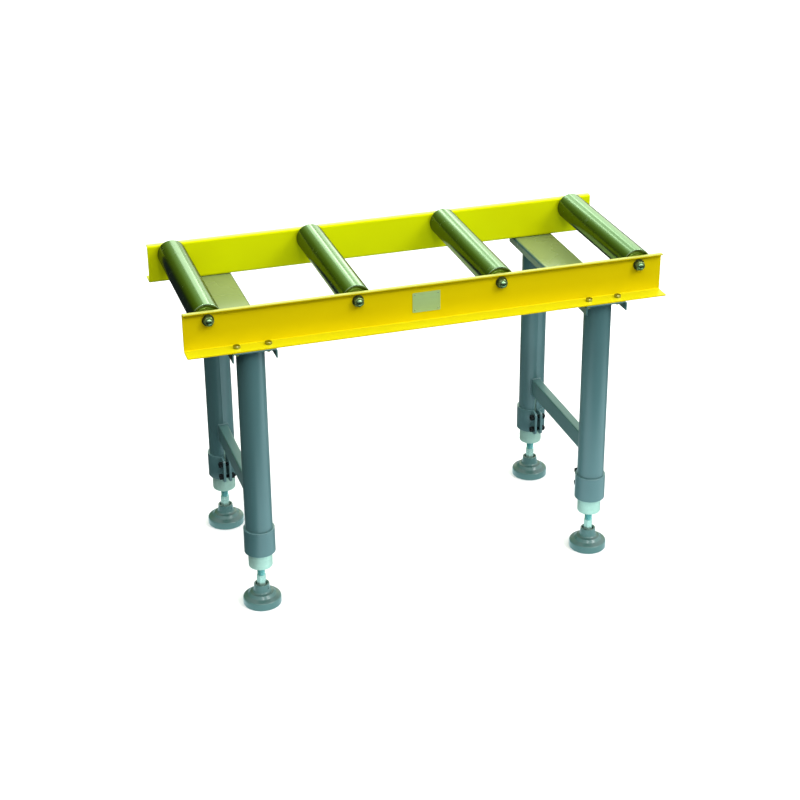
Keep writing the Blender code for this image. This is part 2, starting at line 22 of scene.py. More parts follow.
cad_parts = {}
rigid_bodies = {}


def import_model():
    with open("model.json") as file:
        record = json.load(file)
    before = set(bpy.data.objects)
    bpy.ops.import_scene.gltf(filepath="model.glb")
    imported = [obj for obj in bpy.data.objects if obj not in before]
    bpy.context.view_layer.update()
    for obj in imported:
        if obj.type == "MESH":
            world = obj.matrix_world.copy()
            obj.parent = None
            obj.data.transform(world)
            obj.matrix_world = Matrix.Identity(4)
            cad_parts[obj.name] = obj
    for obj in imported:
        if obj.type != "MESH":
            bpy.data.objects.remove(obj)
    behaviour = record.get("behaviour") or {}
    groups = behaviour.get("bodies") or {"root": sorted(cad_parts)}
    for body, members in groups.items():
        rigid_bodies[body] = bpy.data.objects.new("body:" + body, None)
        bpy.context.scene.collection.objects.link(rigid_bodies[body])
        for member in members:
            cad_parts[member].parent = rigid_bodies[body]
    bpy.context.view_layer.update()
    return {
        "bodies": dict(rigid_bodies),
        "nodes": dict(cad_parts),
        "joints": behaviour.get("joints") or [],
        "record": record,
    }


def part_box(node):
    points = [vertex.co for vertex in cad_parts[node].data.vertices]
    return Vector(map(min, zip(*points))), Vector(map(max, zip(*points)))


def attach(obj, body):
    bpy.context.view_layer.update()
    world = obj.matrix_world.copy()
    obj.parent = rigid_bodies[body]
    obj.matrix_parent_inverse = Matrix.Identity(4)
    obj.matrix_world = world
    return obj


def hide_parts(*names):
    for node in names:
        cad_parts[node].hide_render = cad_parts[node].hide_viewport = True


LOG = logging.getLogger("roller_table")
TAU = math.tau

Array = np.ndarray
Colour = tuple[float, float, float]
Corner = tuple[float, float, float]
Point = tuple[float, float, float]
Span = tuple[float, float]
Socket = bpy.types.NodeSocket

ROLLER_COUNT = 4
SEAT_GAP = 0.0003
SHEET = 0.003
SHEET_BEND = 0.002
SHEET_EDGE = 0.0006
FINE_EDGE = 0.0004
TUBE_EDGE = 0.0005
WELD_BEAD = 0.0022
ROUND_COLUMNS = 96
SMALL_COLUMNS = 48
HEX_COLUMNS = 72
ARC_HOLD = 0.35
BEAD_COLUMNS = 14
BEAD_POINTS = 220
HEX_CROWDING = 0.13
HEX_SHARPNESS = 50
HEX_CHAMFER = math.tan(math.radians(30))
NUT_FLAT = 0.47
NUT_LEAD = 0.03
THREAD_STEEPNESS = 1.35
THREAD_ROWS_A_TURN = 8
THREAD_LEAST_ROWS = 6


class Turn(Enum):
    """Rotation that points a shape's own Z axis along one of the table's axes."""

    UP = ((1, 0, 0), (0, 1, 0), (0, 0, 1))
    TO_REAR = ((1, 0, 0), (0, 0, 1), (0, -1, 0))
    TO_FRONT = ((1, 0, 0), (0, 0, -1), (0, 1, 0))
    TO_RIGHT = ((0, 0, 1), (0, 1, 0), (-1, 0, 0))

    def apply(self, points: Array) -> Array:
        """The points turned about the origin."""
        return points @ np.array(self.value, float).T


class Side(Enum):
    """Base of the table's sides, whose values are signs along an axis."""

    @property
    def word(self) -> str:
        """The side's word in the frame's names."""
        return self.name.lower()


class Face(Side):
    """Long side of the table, with its sign along Y."""

    FRONT = -1
    REAR = 1

    @property
    def turn(self) -> Turn:
        """The rotation that points a shape out of this side."""
        return Turn.TO_REAR if self is Face.REAR else Turn.TO_FRONT


class End(Side):
    """End of the table, with its sign along X."""

    LEFT = -1
    RIGHT = 1


def unit(vectors: Array) -> Array:
    """The vectors, each divided by its own length."""
    return vectors / np.linalg.norm(vectors, axis=-1, keepdims=True)


def around(columns: int) -> Array:
    """Evenly spaced angles of a full turn, without the last one."""
    return np.linspace(0, TAU, columns, endpoint=False)


def corner_arcs(corners: Sequence[Corner], steps: int) -> Array:
    """Round each corner of a closed outline.

    A corner of inner angle a gets an arc of radius r that starts and ends r / tan(a / 2) from it,
    about a centre on the bisector at r / sin(a / 2). The arc's points are a spherical blend of its
    end directions. One more point on each straight, a share of r past the arc, keeps it flat.

    Args:
        corners: The outline's corners as x, y and radius, in order.
        steps: Straight pieces of each arc.

    Returns:
        Points of every corner, shaped (corners, points, 2).
    """
    data = np.asarray(corners, float)
    here, radius = data[:, :2], data[:, 2:]
    back = unit(np.roll(here, 1, axis=0) - here)
    ahead = unit(np.roll(here, -1, axis=0) - here)
    angle = np.arccos(np.clip((back * ahead).sum(1, keepdims=True), -1, 1))
    reach = radius / np.tan(angle / 2)
    centre = here + unit(back + ahead) * radius / np.sin(angle / 2)
    start = (here + back * reach - centre)[:, None]
    end = (here + ahead * reach - centre)[:, None]
    sweep = (math.pi - angle)[:, None]
    share = np.linspace(0, 1, steps + 1)[None, :, None]
    arc = np.sin((1 - share) * sweep) * start + np.sin(share * sweep) * end
    arc = centre[:, None] + arc / np.sin(sweep)
    before = (here + back * (reach + ARC_HOLD * radius))[:, None]
    after = (here + ahead * (reach + ARC_HOLD * radius))[:, None]
    return np.concatenate([before, arc, after], axis=1)


def filleted(corners: Sequence[Corner], steps: int = 5) -> Array:
    """Points of a closed outline with rounded corners, as corner_arcs gives them."""
    return corner_arcs(corners, steps).reshape(-1, 2)


def filleted_path(corners: Sequence[Corner], steps: int) -> Array:
    """Points of an open path whose inner corners are rounded.

    Args:
        corners: The path's corners as x, y and radius. The first and last stay sharp.
        steps: Straight pieces of each arc.

    Returns:
        Points along the path, shaped (points, 2).
    """
    inner = corner_arcs(corners, steps)[1:-1].reshape(-1, 2)
    return np.concatenate([[corners[0][:2]], inner, [corners[-1][:2]]])


def rectangle(width: float, height: float, radius: float) -> list[Corner]:
    """Corners of a rectangle about the origin, anticlockwise."""
    x, y = width / 2, height / 2
    return [(x, -y, radius), (x, y, radius), (-x, y, radius), (-x, -y, radius)]


def offset_loop(loop: Array, distance: float) -> Array:
    """Move a closed outline outwards by a distance.

    Each point moves along the mean of its two edge normals, by the distance divided by the cosine
    of the half angle between them, so that every edge moves by the same amount.

    Args:
        loop: Points of the outline, shaped (points, 2).
        distance: How far the edges move; negative is inwards.

    Returns:
        The moved points.
    """
    step = np.roll(loop, -1, axis=0) - loop
    area = (loop[:, 0] * np.roll(loop[:, 1], -1) - loop[:, 1] * np.roll(loop[:, 0], -1)).sum()
    ahead = unit(np.column_stack([step[:, 1], -step[:, 0]])) * np.sign(area)
    mean = unit(ahead + np.roll(ahead, 1, axis=0))
    return loop + mean * distance / (mean * ahead).sum(1, keepdims=True)


def revolved(profile: Array, columns: int = ROUND_COLUMNS) -> Array:
    """Grid of a profile turned about Z: x = r cos t, y = r sin t, z = h.

    Args:
        profile: Radius r and height h of each point, shaped (points, 2).
        columns: Number of angles t.

    Returns:
        Points, shaped (points, columns, 3).
    """
    angle = around(columns)
    radius = np.repeat(profile[:, :1], columns, axis=1)
    return polar(radius, np.repeat(profile[:, 1:], columns, axis=1), angle)


def polar(radius: Array, height: Array, angle: Array) -> Array:
    """Grid of points from a radius and a height for each row and angle."""
    return np.stack([radius * np.cos(angle), radius * np.sin(angle), height], axis=-1)


def extruded(outline: Array, length: float, chamfer: float) -> Array:
    """Rings of an outline carried along Z, with both end edges chamfered.

    The end rings are the outline moved inwards by the chamfer, and the next ones, a chamfer along
    the length from them, are the outline itself.

    Args:
        outline: Points of the closed outline.
        length: Length along Z, from z = 0.
        chamfer: Size of the end chamfers.

    Returns:
        Grid of points, shaped (4, points, 3).
    """
    inset = offset_loop(outline, -chamfer)
    rings = [(inset, 0.0), (outline, chamfer), (outline, length - chamfer), (inset, length)]
    return np.stack([np.column_stack([ring, np.full(len(ring), z)]) for ring, z in rings])


def hexagon(flats: float) -> tuple[Array, Array]:
    """Radius of a hexagon with slightly rounded corners, for angles that crowd at the corners.

    The angle is p less a small share of sin 6p, for evenly spaced p. The radius is half the flats
    divided by the n-th root of the sum of the six sides' cosines to the power n, the sharpness.

    Args:
        flats: Width across the flats.

    Returns:
        The angles and the radius at each.
    """
    even = around(HEX_COLUMNS)
    angle = even - HEX_CROWDING * np.sin(6 * even)
    sides = np.arange(6) * TAU / 6 + TAU / 12
    facing = np.clip(np.cos(angle[:, None] - sides), 0, None)
    return angle, flats / 2 / (facing**HEX_SHARPNESS).sum(1) ** (1 / HEX_SHARPNESS)


def cone_drop(side: Array, flat: float) -> Array:
    """How far a chamfer of 30 degrees that starts at a flat's radius has dropped at the sides."""
    return (side - flat) * HEX_CHAMFER


def spun(points: Array, angle: float) -> Array:
    """The points turned about Z by an angle."""
    return points @ np.array(Matrix.Rotation(angle, 3, "Z")).T


def thread_wave(angle: Array, height: Array, pitch: float) -> Array:
    """Height of a right-hand thread's flank between -1 and 1.

    A triangle wave of z / pitch - t / turn, made steeper and cut off so that crest and root are flat.

    Args:
        angle: Angle t of each column.
        height: Height z of each row.
        pitch: Rise of one turn.

    Returns:
        The wave at each row and column.
    """
    phase = (height / pitch - angle / TAU) % 1.0
    return np.clip(THREAD_STEEPNESS * (1 - 4 * np.abs(phase - 0.5)), -1, 1)


@dataclass(frozen=True)
class Thread:
    """A screw thread that runs out to its root at the far end and closes in a blunt tip."""

    radius: float
    depth: float
    pitch: float
    taper: float
    tip: float = 0.0003
    blunt: float = 0.0006

    def rows(self, start: float, end: float) -> Array:
        """Rows of a threaded length and of the tip past it.

        Args:
            start: Height of the first row.
            end: Height of the tip.

        Returns:
            Height, radius and depth of each row, shaped (rows, 3).
        """
        stop = end - math.copysign(self.tip, end - start)
        count = int(abs(stop - start) / self.pitch * THREAD_ROWS_A_TURN)
        height = np.linspace(start, stop, max(THREAD_LEAST_ROWS, count))
        lost = np.clip(1 - np.abs(stop - height) / self.taper, 0, 1) * self.depth
        run = np.column_stack([height, self.radius - lost, np.clip(self.depth - lost, 0, None)])
        return np.vstack([run, (end, self.radius - self.depth - self.blunt, 0.0)])

    def rod(self, rows: Array, columns: int) -> Array:
        """Grid of a rod whose radius is the row's own, less a thread of the row's own depth.

        Args:
            rows: Height, radius and depth of each row, the depth 0 where it is plain.
            columns: Number of angles.

        Returns:
            Points, shaped (rows, columns, 3).
        """
        angle = around(columns)
        height, radius, depth = rows.T[:, :, None]
        wave = thread_wave(angle[None, :], height, self.pitch)
        return polar(radius - depth * (1 - wave) / 2, np.repeat(height, columns, axis=1), angle)


def joined_rows(*rows: tuple[Array | float, Array | float], columns: int) -> tuple[Array, Array]:
    """Radius and height grids from rows that are each a pair of numbers or arrays.

    Args:
        rows: Radius and height of each row.
        columns: Number of angles in a row.

    Returns:
        The two grids, shaped (rows, columns).
    """
    radius = np.stack([np.broadcast_to(r, columns) for r, _ in rows])
    height = np.stack([np.broadcast_to(z, columns) for _, z in rows])
    return radius, height


@dataclass
class Draft:
    """Grids of points that become one mesh of quads and a few end polygons."""

    points: list[Array] = field(default_factory=list)
    faces: list[list[int]] = field(default_factory=list)
    total: int = 0

    def _take(self, rows: Array, turn: Turn, at: Point) -> Array:
        """Store a grid's points, turned and moved.

        Args:
            rows: Points, shaped (rows, columns, 3).
            turn: Where the grid's Z axis points.
            at: Where the grid's origin goes.

        Returns:
            The points' numbers, shaped (rows, columns).
        """
        index = np.arange(rows.shape[0] * rows.shape[1]).reshape(rows.shape[:2]) + self.total
        self.points.append(turn.apply(rows.reshape(-1, 3)) + np.asarray(at, float))
        self.total += index.size
        return index

    def _quads(self, *corners: Array) -> None:
        """Store faces whose corners are given as four arrays of point numbers."""
        self.faces += np.stack([c.ravel() for c in corners], axis=1).tolist()

    def grid(
        self,
        rows: Array,
        turn: Turn = Turn.UP,
        at: Point = (0, 0, 0),
        loop: bool = False,
        caps: bool = False,
    ) -> Draft:
        """Add a grid that closes around its columns.

        Args:
            rows: Points, shaped (rows, columns, 3).
            turn: Where the grid's Z axis points.
            at: Where the grid's origin goes.
            loop: Whether the last row joins the first.
            caps: Whether the first and last rows are closed by polygons.

        Returns:
            This draft.
        """
        index = self._take(rows, turn, at)
        if caps:
            self.faces += [index[0].tolist(), index[-1].tolist()]
        if loop:
            index = np.vstack([index, index[:1]])
        index = np.hstack([index, index[:, :1]])
        self._quads(index[:-1, :-1], index[:-1, 1:], index[1:, 1:], index[1:, :-1])
        return self

    def sheet(
        self,
        outer: Array,
        inner: Array,
        at: Point = (0, 0, 0),
        wrap: bool = False,
        keep: Array | None = None,
    ) -> Draft:
        """Add two facing grids joined by walls along every border of the kept quads.

        Args:
            outer: Points of one side, shaped (rows, columns, 3).
            inner: Points of the other side, in the same shape.
            at: Where the grids' origin goes.
            wrap: Whether the last column joins the first.
            keep: Which quads stay, or None for all.

        Returns:
            This draft.
        """
        front = self._take(outer, Turn.UP, at)
        back = self._take(inner, Turn.UP, at)
        if wrap:
            front, back = (np.hstack([side, side[:, :1]]) for side in (front, back))
        if keep is None:
            keep = np.ones((front.shape[0] - 1, front.shape[1] - 1), bool)
        row, column = np.nonzero(keep)
        for side in (front, back):
            self._quads(
                side[row, column], side[row, column + 1], side[row + 1, column + 1], side[row + 1, column]
            )
        framed = np.pad(keep, ((1, 1), (0, 0)))
        row, column = np.nonzero(framed[1:] != framed[:-1])
        self._quads(
            front[row, column], front[row, column + 1], back[row, column + 1], back[row, column]
        )
        if wrap:
            framed = np.hstack([keep[:, -1:], keep])
        else:
            framed = np.pad(keep, ((0, 0), (1, 1)))
        row, column = np.nonzero(framed[:, 1:] != framed[:, :-1])
        self._quads(
            front[row, column], front[row + 1, column], back[row + 1, column], back[row, column]
        )
        return self

    def object(self, name: str, sharp: float) -> bpy.types.Object:
        """Make the closed, outward-facing mesh object.

        Args:
            name: Name of the object.
            sharp: Edges that bend by more than this, in degrees, stay crisp.

        Returns:
            The object, linked to the scene.
        """
        mesh = bpy.data.meshes.new(name)
        mesh.from_pydata(np.concatenate(self.points).tolist(), [], self.faces)
        shape = bmesh.new()
        shape.from_mesh(mesh)
        bmesh.ops.remove_doubles(shape, verts=shape.verts, dist=1e-7)
        loose = [vert for vert in shape.verts if not vert.link_faces]
        bmesh.ops.delete(shape, geom=loose, context="VERTS")
        bmesh.ops.recalc_face_normals(shape, faces=shape.faces)
        shape.to_mesh(mesh)
        shape.free()
        mesh.shade_smooth()
        mesh.set_sharp_from_angle(angle=math.radians(sharp))
        made = bpy.data.objects.new(name, mesh)
        bpy.context.collection.objects.link(made)
        return made


class Wiring:
    """Adds and joins the nodes of one node tree."""

    def __init__(self, tree: bpy.types.NodeTree) -> None:
        """Work on this tree."""
        self.tree = tree

    def join(self, node: bpy.types.Node, inputs: dict) -> None:
        """Link or set a node's inputs.

        Args:
            node: The node.
            inputs: Values or sockets for its inputs, by name or number.
        """
        for key, value in inputs.items():
            if isinstance(value, Socket):
                self.tree.links.new(value, node.inputs[key])
            else:
                node.inputs[key].default_value = value

    def node(self, kind: str, inputs: dict | None = None, **settings: object) -> bpy.types.Node:
        """Add a node.

        Args:
            kind: Type of the node.
            inputs: Values or sockets for its inputs, by name or number.
            settings: Properties of the node.

        Returns:
            The node.
        """
        made = self.tree.nodes.new(kind)
        for key, value in settings.items():
            setattr(made, key, value)
        self.join(made, inputs or {})
        return made

    def math(self, operation: str, *values: object) -> Socket:
        """Result of an operation on two or three values."""
        return self.node("ShaderNodeMath", dict(enumerate(values)), operation=operation).outputs[0]

    def vector(self, operation: str, *values: object) -> Socket:
        """Result of an operation on vectors, a number for a dot product or a distance."""
        made = self.node("ShaderNodeVectorMath", dict(enumerate(values)), operation=operation)
        return made.outputs["Value" if operation in ("DOT_PRODUCT", "DISTANCE") else "Vector"]

    def axis(self, vector: Socket, letter: str) -> Socket:
        """One part of a vector, by its letter."""
        return self.node("ShaderNodeSeparateXYZ", {0: vector}).outputs[letter]

    def span(
        self,
        value: Socket,
        low: object,
        high: object,
        start: object = 0.0,
        end: object = 1.0,
        smooth: bool = False,
    ) -> Socket:
        """A value mapped from one span to another, and held there.

        Args:
            value: The value.
            low: Where the first span starts.
            high: Where the first span ends.
            start: Result at low.
            end: Result at high.
            smooth: Whether the result is eased at both ends.

        Returns:
            The result.
        """
        inputs = {"Value": value, "From Min": low, "From Max": high, "To Min": start, "To Max": end}
        kind = "SMOOTHSTEP" if smooth else "LINEAR"
        return self.node("ShaderNodeMapRange", inputs, interpolation_type=kind).outputs[0]

    def mix(self, factor: object, first: object, second: object) -> Socket:
        """Blend of two colours."""
        inputs = {0: factor, 6: shade(first), 7: shade(second)}
        return self.node("ShaderNodeMix", inputs, data_type="RGBA").outputs[2]

    def noise(self, vector: Socket, scale: object, detail: float) -> Socket:
        """Smooth noise between 0 and 1."""
        inputs = {"Vector": vector, "Scale": scale, "Detail": detail}
        return self.node("ShaderNodeTexNoise", inputs).outputs["Fac"]

    def relief(self, height: Socket, strength: float, distance: float) -> Socket:
        """Normal of a surface with a fine relief on it."""
        inputs = {"Height": height, "Strength": strength, "Distance": distance}
        return self.node("ShaderNodeBump", inputs).outputs[0]

    def group(self, tree: bpy.types.NodeTree, inputs: dict) -> bpy.types.NodeOutputs:
        """Outputs of a shared node group with its own values."""
        return self.node("ShaderNodeGroup", inputs, node_tree=tree).outputs


def shade(value: object) -> object:
    """A colour with its alpha, or a socket as it is."""
    return (*value, 1.0) if isinstance(value, tuple) else value


def new_group(
    name: str, inputs: dict[str, str], outputs: dict[str, str]
) -> tuple[Wiring, bpy.types.NodeOutputs, bpy.types.Node]:
    """Start a shader node group.

    Args:
        name: Name of the group.
        inputs: Socket type of each input.
        outputs: Socket type of each output.

    Returns:
        The tree's wiring, the sockets of its input node, and its output node.
    """
    tree = bpy.data.node_groups.new(name, "ShaderNodeTree")
    for label, kind in inputs.items():
        tree.interface.new_socket(label, in_out="INPUT", socket_type=kind)
    for label, kind in outputs.items():
        tree.interface.new_socket(label, in_out="OUTPUT", socket_type=kind)
    return Wiring(tree), tree.nodes.new("NodeGroupInput").outputs, tree.nodes.new("NodeGroupOutput")


VECTOR = "NodeSocketVector"
VALUE = "NodeSocketFloat"


class Effects:
    """The surface effects that several finishes share, each built once as a node group."""

    CLOUDS = (0.2, 0.8)
    TONES = (0.3, 0.7)
    WORN_BEND = (0.99, 0.86)
    WORN_BREAKS = (0.42, 0.62)
    # Scale, patches and slope of the up-face mask, which carries real dust as well as painted shade and
    # painted reflection.
    DUST_SCALE = 38.0
    DUST_PATCHES = (0.35, 0.75)
    DUST_SLOPE = (0.55, 1.0)
    BROAD_LINES = 0.13
    SPOT_SCALE = 5.0
    SPOTS = (0.6, 0.75)

    @classmethod
    @cache
    def paint_grain(cls) -> bpy.types.NodeTree:
        """Orange peel of a powder coat as a height, and slow clouds in its tone.

        Returns:
            The node group.
        """
        inputs = {"Vector": VECTOR, "Peel Scale": VALUE, "Cloud Scale": VALUE}
        wire, given, out = new_group("paint_grain", inputs, {"Height": VALUE, "Tone": VALUE})
        peel = wire.noise(given["Vector"], given["Peel Scale"], 2.0)
        cloud = wire.noise(given["Vector"], given["Cloud Scale"], 4.0)
        wire.join(out, {"Height": peel, "Tone": wire.span(cloud, *cls.CLOUDS, smooth=True)})
        return wire.tree

    @classmethod
    @cache
    def edge_wear(cls) -> bpy.types.NodeTree:
        """Mask of thin, broken wear where the surface turns a corner.

        The mask grows as the normal averaged over a small radius leaves the surface's own normal.

        Returns:
            The node group.
        """
        inputs = {"Vector": VECTOR, "Radius": VALUE, "Grain Scale": VALUE}
        wire, given, out = new_group("edge_wear", inputs, {"Mask": VALUE})
        soft = wire.node("ShaderNodeBevel", {"Radius": given["Radius"]}, samples=4).outputs[0]
        own = wire.node("ShaderNodeNewGeometry").outputs["Normal"]
        edge = wire.span(wire.vector("DOT_PRODUCT", soft, own), *cls.WORN_BEND)
        broken = wire.span(wire.noise(given["Vector"], given["Grain Scale"], 5.0), *cls.WORN_BREAKS)
        wire.join(out, {"Mask": wire.math("MULTIPLY", edge, broken)})
        return wire.tree

    @classmethod
    @cache
    def settled_dust(cls) -> bpy.types.NodeTree:
        """Mask of patchy colour on surfaces that face up: real dust, painted shade and painted reflection.

        Returns:
            The node group.
        """
        inputs = {"Vector": VECTOR, "Amount": VALUE, "Evenness": VALUE}
        wire, given, out = new_group("settled_dust", inputs, {"Mask": VALUE})
        up = wire.axis(wire.node("ShaderNodeNewGeometry").outputs["Normal"], "Z")
        patch = wire.span(wire.noise(given["Vector"], cls.DUST_SCALE, 6.0), *cls.DUST_PATCHES)
        patch = wire.span(patch, 0.0, 1.0, given["Evenness"], 1.0)
        mask = wire.math("MULTIPLY", wire.span(up, *cls.DUST_SLOPE), patch)
        wire.join(out, {"Mask": wire.math("MULTIPLY", mask, given["Amount"])})
        return wire.tree

    @classmethod
    @cache
    def tool_lines(cls) -> bpy.types.NodeTree:
        """Fine lines left by turning, grinding or brushing, along stretched coordinates.

        Returns:
            The node group.
        """
        wire, given, out = new_group("tool_lines", {"Vector": VECTOR}, {"Height": VALUE, "Tone": VALUE})
        fine = wire.noise(given["Vector"], 1.0, 5.0)
        broad = wire.noise(given["Vector"], cls.BROAD_LINES, 3.0)
        both = wire.math("ADD", wire.math("MULTIPLY", fine, 0.5), wire.math("MULTIPLY", broad, 0.5))
        wire.join(out, {"Height": fine, "Tone": wire.span(both, *cls.TONES)})
        return wire.tree

    @classmethod
    @cache
    def plating_mottle(cls) -> bpy.types.NodeTree:
        """Clouded tone of plating, with a few small duller spots.

        Returns:
            The node group.
        """
        inputs = {"Vector": VECTOR, "Scale": VALUE}
        wire, given, out = new_group("plating_mottle", inputs, {"Tone": VALUE, "Spots": VALUE})
        cloud = wire.noise(given["Vector"], given["Scale"], 5.0)
        spots = wire.noise(given["Vector"], wire.math("MULTIPLY", given["Scale"], cls.SPOT_SCALE), 3.0)
        wire.join(out, {"Tone": wire.span(cloud, *cls.TONES), "Spots": wire.span(spots, *cls.SPOTS)})
        return wire.tree


@dataclass(frozen=True)
class Finish:
    """What every finish has: a name, the record's slot, two tones, a roughness and worn edges."""

    name: str
    slot: str
    colour: Colour
    shadow: Colour
    roughness: float
    edge: Colour = (0.5, 0.5, 0.5)
    wear: float = 0.35
    wear_radius: float = 0.0012
    wear_grain: float = 160.0

    def material(self) -> bpy.types.Material:
        """Find the finish's material, or make it on first use.

        Returns:
            The material.
        """
        found = bpy.data.materials.get(self.name)
        if found:
            return found
        made = bpy.data.materials.new(self.name)
        made.use_nodes = True
        made.diffuse_color = (*self.colour, 1.0)
        wire = Wiring(made.node_tree)
        shader = made.node_tree.nodes["Principled BSDF"]
        self.wire(wire, shader, wire.node("ShaderNodeTexCoord").outputs["Object"])
        return made

    def wire(self, wire: Wiring, shader: bpy.types.Node, place: Socket) -> None:
        """Join the nodes that feed the shader.

        Args:
            wire: Wiring of the material's tree.
            shader: The material's Principled BSDF.
            place: Object coordinates.
        """
        raise NotImplementedError

    def worn(self, wire: Wiring, place: Socket, colour: Socket) -> Socket:
        """A colour with the finish's worn edges over it.

        Args:
            wire: Wiring of the material's tree.
            place: Object coordinates.
            colour: The colour away from the edges.

        Returns:
            The colour with the edges.
        """
        inputs = {"Vector": place, "Radius": self.wear_radius, "Grain Scale": self.wear_grain}
        mask = wire.group(Effects.edge_wear(), inputs)["Mask"]
        return wire.mix(wire.math("MULTIPLY", mask, self.wear), colour, self.edge)


@dataclass(frozen=True)
class PowderCoat(Finish):
    """Baked paint with orange peel, faint clouds, thin edges, and a top colour that is real dust on some
    finishes and painted light on others.
    """

    # Top colour, its amount, roughness and evenness on surfaces that face up: real dust by default and on the
    # stand paint, painted shade on the rails, feet and brace, and a painted reflection of the rails on the
    # channels.
    dust: Colour = (0.62, 0.64, 0.58)
    dust_amount: float = 0.10
    dust_matt: float = 1.2
    dust_even: float = 0.0
    cloud_scale: float = 5.0
    cloud_matt: float = 0.04
    cloud_gloss: float = 0.03
    peel_scale: float = 620.0
    peel: float = 0.05
    peel_depth: float = 0.001
    coat: float = 0.15
    coat_roughness: float = 0.18
    gloss: float = 0.5
    gloss_tint: Colour = (1.0, 1.0, 1.0)
    # Scale of the colour as mirrors see it; below 1 it paints shade into the rails' reflections.
    mirrored: float = 1.0
    # Painted highlight: everything above the given height, the rails' lips, takes this paler colour.
    rubbed: Colour | None = None
    rubbed_above: float = 0.6786
    rubbed_blend: float = 0.0006

    def wire(self, wire: Wiring, shader: bpy.types.Node, place: Socket) -> None:
        """Join the nodes that feed the shader.

        Args:
            wire: Wiring of the material's tree.
            shader: The material's Principled BSDF.
            place: Object coordinates.
        """
        scales = {"Vector": place, "Peel Scale": self.peel_scale, "Cloud Scale": self.cloud_scale}
        grain = wire.group(Effects.paint_grain(), scales)
        # Surfaces that face up take the top colour: real dust on the stand paint, painted shade on the rails,
        # feet and brace, and a painted reflection of the rails on the channels.
        on_tops = {"Vector": place, "Amount": self.dust_amount, "Evenness": self.dust_even}
        dust = wire.group(Effects.settled_dust(), on_tops)["Mask"]
        colour = wire.mix(grain["Tone"], self.shadow, self.colour)
        colour = self.worn(wire, place, wire.mix(dust, colour, self.dust))
        # Painted highlight on the rails' lips: a paler colour above the given height.
        if self.rubbed:
            top = self.rubbed_above + self.rubbed_blend
            mask = wire.span(wire.axis(place, "Z"), self.rubbed_above, top)
            colour = wire.mix(mask, colour, self.rubbed)
        # Painted shade in reflections: glossy rays see the colour scaled down, so mirrors show a darker rail.
        if self.mirrored < 1.0:
            seen = wire.node("ShaderNodeLightPath").outputs["Is Glossy Ray"]
            dim = {0: colour, "Scale": wire.span(seen, 0.0, 1.0, 1.0, self.mirrored)}
            colour = wire.node("ShaderNodeVectorMath", dim, operation="SCALE").outputs[0]
        low, high = self.roughness - self.cloud_gloss, self.roughness + self.cloud_matt
        rough = wire.span(grain["Tone"], 0.0, 1.0, high, low)
        fed = {
            "Base Color": colour,
            "Roughness": wire.math("ADD", rough, wire.math("MULTIPLY", dust, self.dust_matt)),
            "Normal": wire.relief(grain["Height"], self.peel, self.peel_depth),
            "Specular IOR Level": self.gloss,
            "Specular Tint": shade(self.gloss_tint),
            "Coat Weight": self.coat,
            "Coat Roughness": self.coat_roughness,
        }
        wire.join(shader, fed)


@dataclass(frozen=True)
class Metal(Finish):
    """Bare or plated metal with tool lines, clouded plating and brighter edges."""

    edge: Colour = (0.9, 0.95, 0.9)
    wear: float = 0.5
    wear_radius: float = 0.0008
    wear_grain: float = 220.0
    stretch: Point = (400.0, 400.0, 400.0)
    lines: float = 0.05
    line_depth: float = 0.0004
    mottle: float = 60.0
    spread: float = 0.08
    metallic: float = 1.0
    stretched: float = 0.0
    spots: float = 0.25
    spot_matt: float = 0.12

    def wire(self, wire: Wiring, shader: bpy.types.Node, place: Socket) -> None:
        """Join the nodes that feed the shader.

        Args:
            wire: Wiring of the material's tree.
            shader: The material's Principled BSDF.
            place: Object coordinates.
        """
        lined = wire.node("ShaderNodeMapping", {"Vector": place, "Scale": self.stretch})
        tooled = wire.group(Effects.tool_lines(), {"Vector": lined.outputs[0]})
        plated = wire.group(Effects.plating_mottle(), {"Vector": place, "Scale": self.mottle})
        tone = wire.math("POWER", wire.math("MULTIPLY", tooled["Tone"], plated["Tone"]), 0.5)
        colour = wire.mix(tone, self.shadow, self.colour)
        colour = wire.mix(wire.math("MULTIPLY", plated["Spots"], self.spots), colour, self.shadow)
        rough = wire.span(tone, 0.0, 1.0, self.roughness + self.spread, self.roughness - self.spread)
        fed = {
            "Base Color": self.worn(wire, place, colour),
            "Roughness": wire.math("ADD", rough, wire.math("MULTIPLY", plated["Spots"], self.spot_matt)),
            "Normal": wire.relief(tooled["Height"], self.lines, self.line_depth),
            "Metallic": self.metallic,
        }
        wire.join(shader, fed)
        if self.stretched:
            ring = wire.node("ShaderNodeTangent", direction_type="RADIAL", axis="Y")
            wire.join(shader, {"Tangent": ring.outputs[0], "Anisotropic": self.stretched})


@dataclass(frozen=True)
class BlackOxide(Finish):
    """Blackened steel with oily, uneven gloss and rubbed edges."""

    edge: Colour = (0.04, 0.05, 0.055)
    wear: float = 0.6
    wear_radius: float = 0.0006
    wear_grain: float = 260.0
    mottle: float = 180.0
    dry_matt: float = 0.1
    oil_gloss: float = 0.08
    grain: float = 0.06
    grain_depth: float = 0.0004
    gloss: float = 0.12

    def wire(self, wire: Wiring, shader: bpy.types.Node, place: Socket) -> None:
        """Join the nodes that feed the shader.

        Args:
            wire: Wiring of the material's tree.
            shader: The material's Principled BSDF.
            place: Object coordinates.
        """
        tone = wire.group(Effects.plating_mottle(), {"Vector": place, "Scale": self.mottle})["Tone"]
        low, high = self.roughness - self.oil_gloss, self.roughness + self.dry_matt
        fed = {
            "Base Color": self.worn(wire, place, wire.mix(tone, self.shadow, self.colour)),
            "Roughness": wire.span(tone, 0.0, 1.0, high, low),
            "Normal": wire.relief(tone, self.grain, self.grain_depth),
            "Specular IOR Level": self.gloss,
        }
        wire.join(shader, fed)
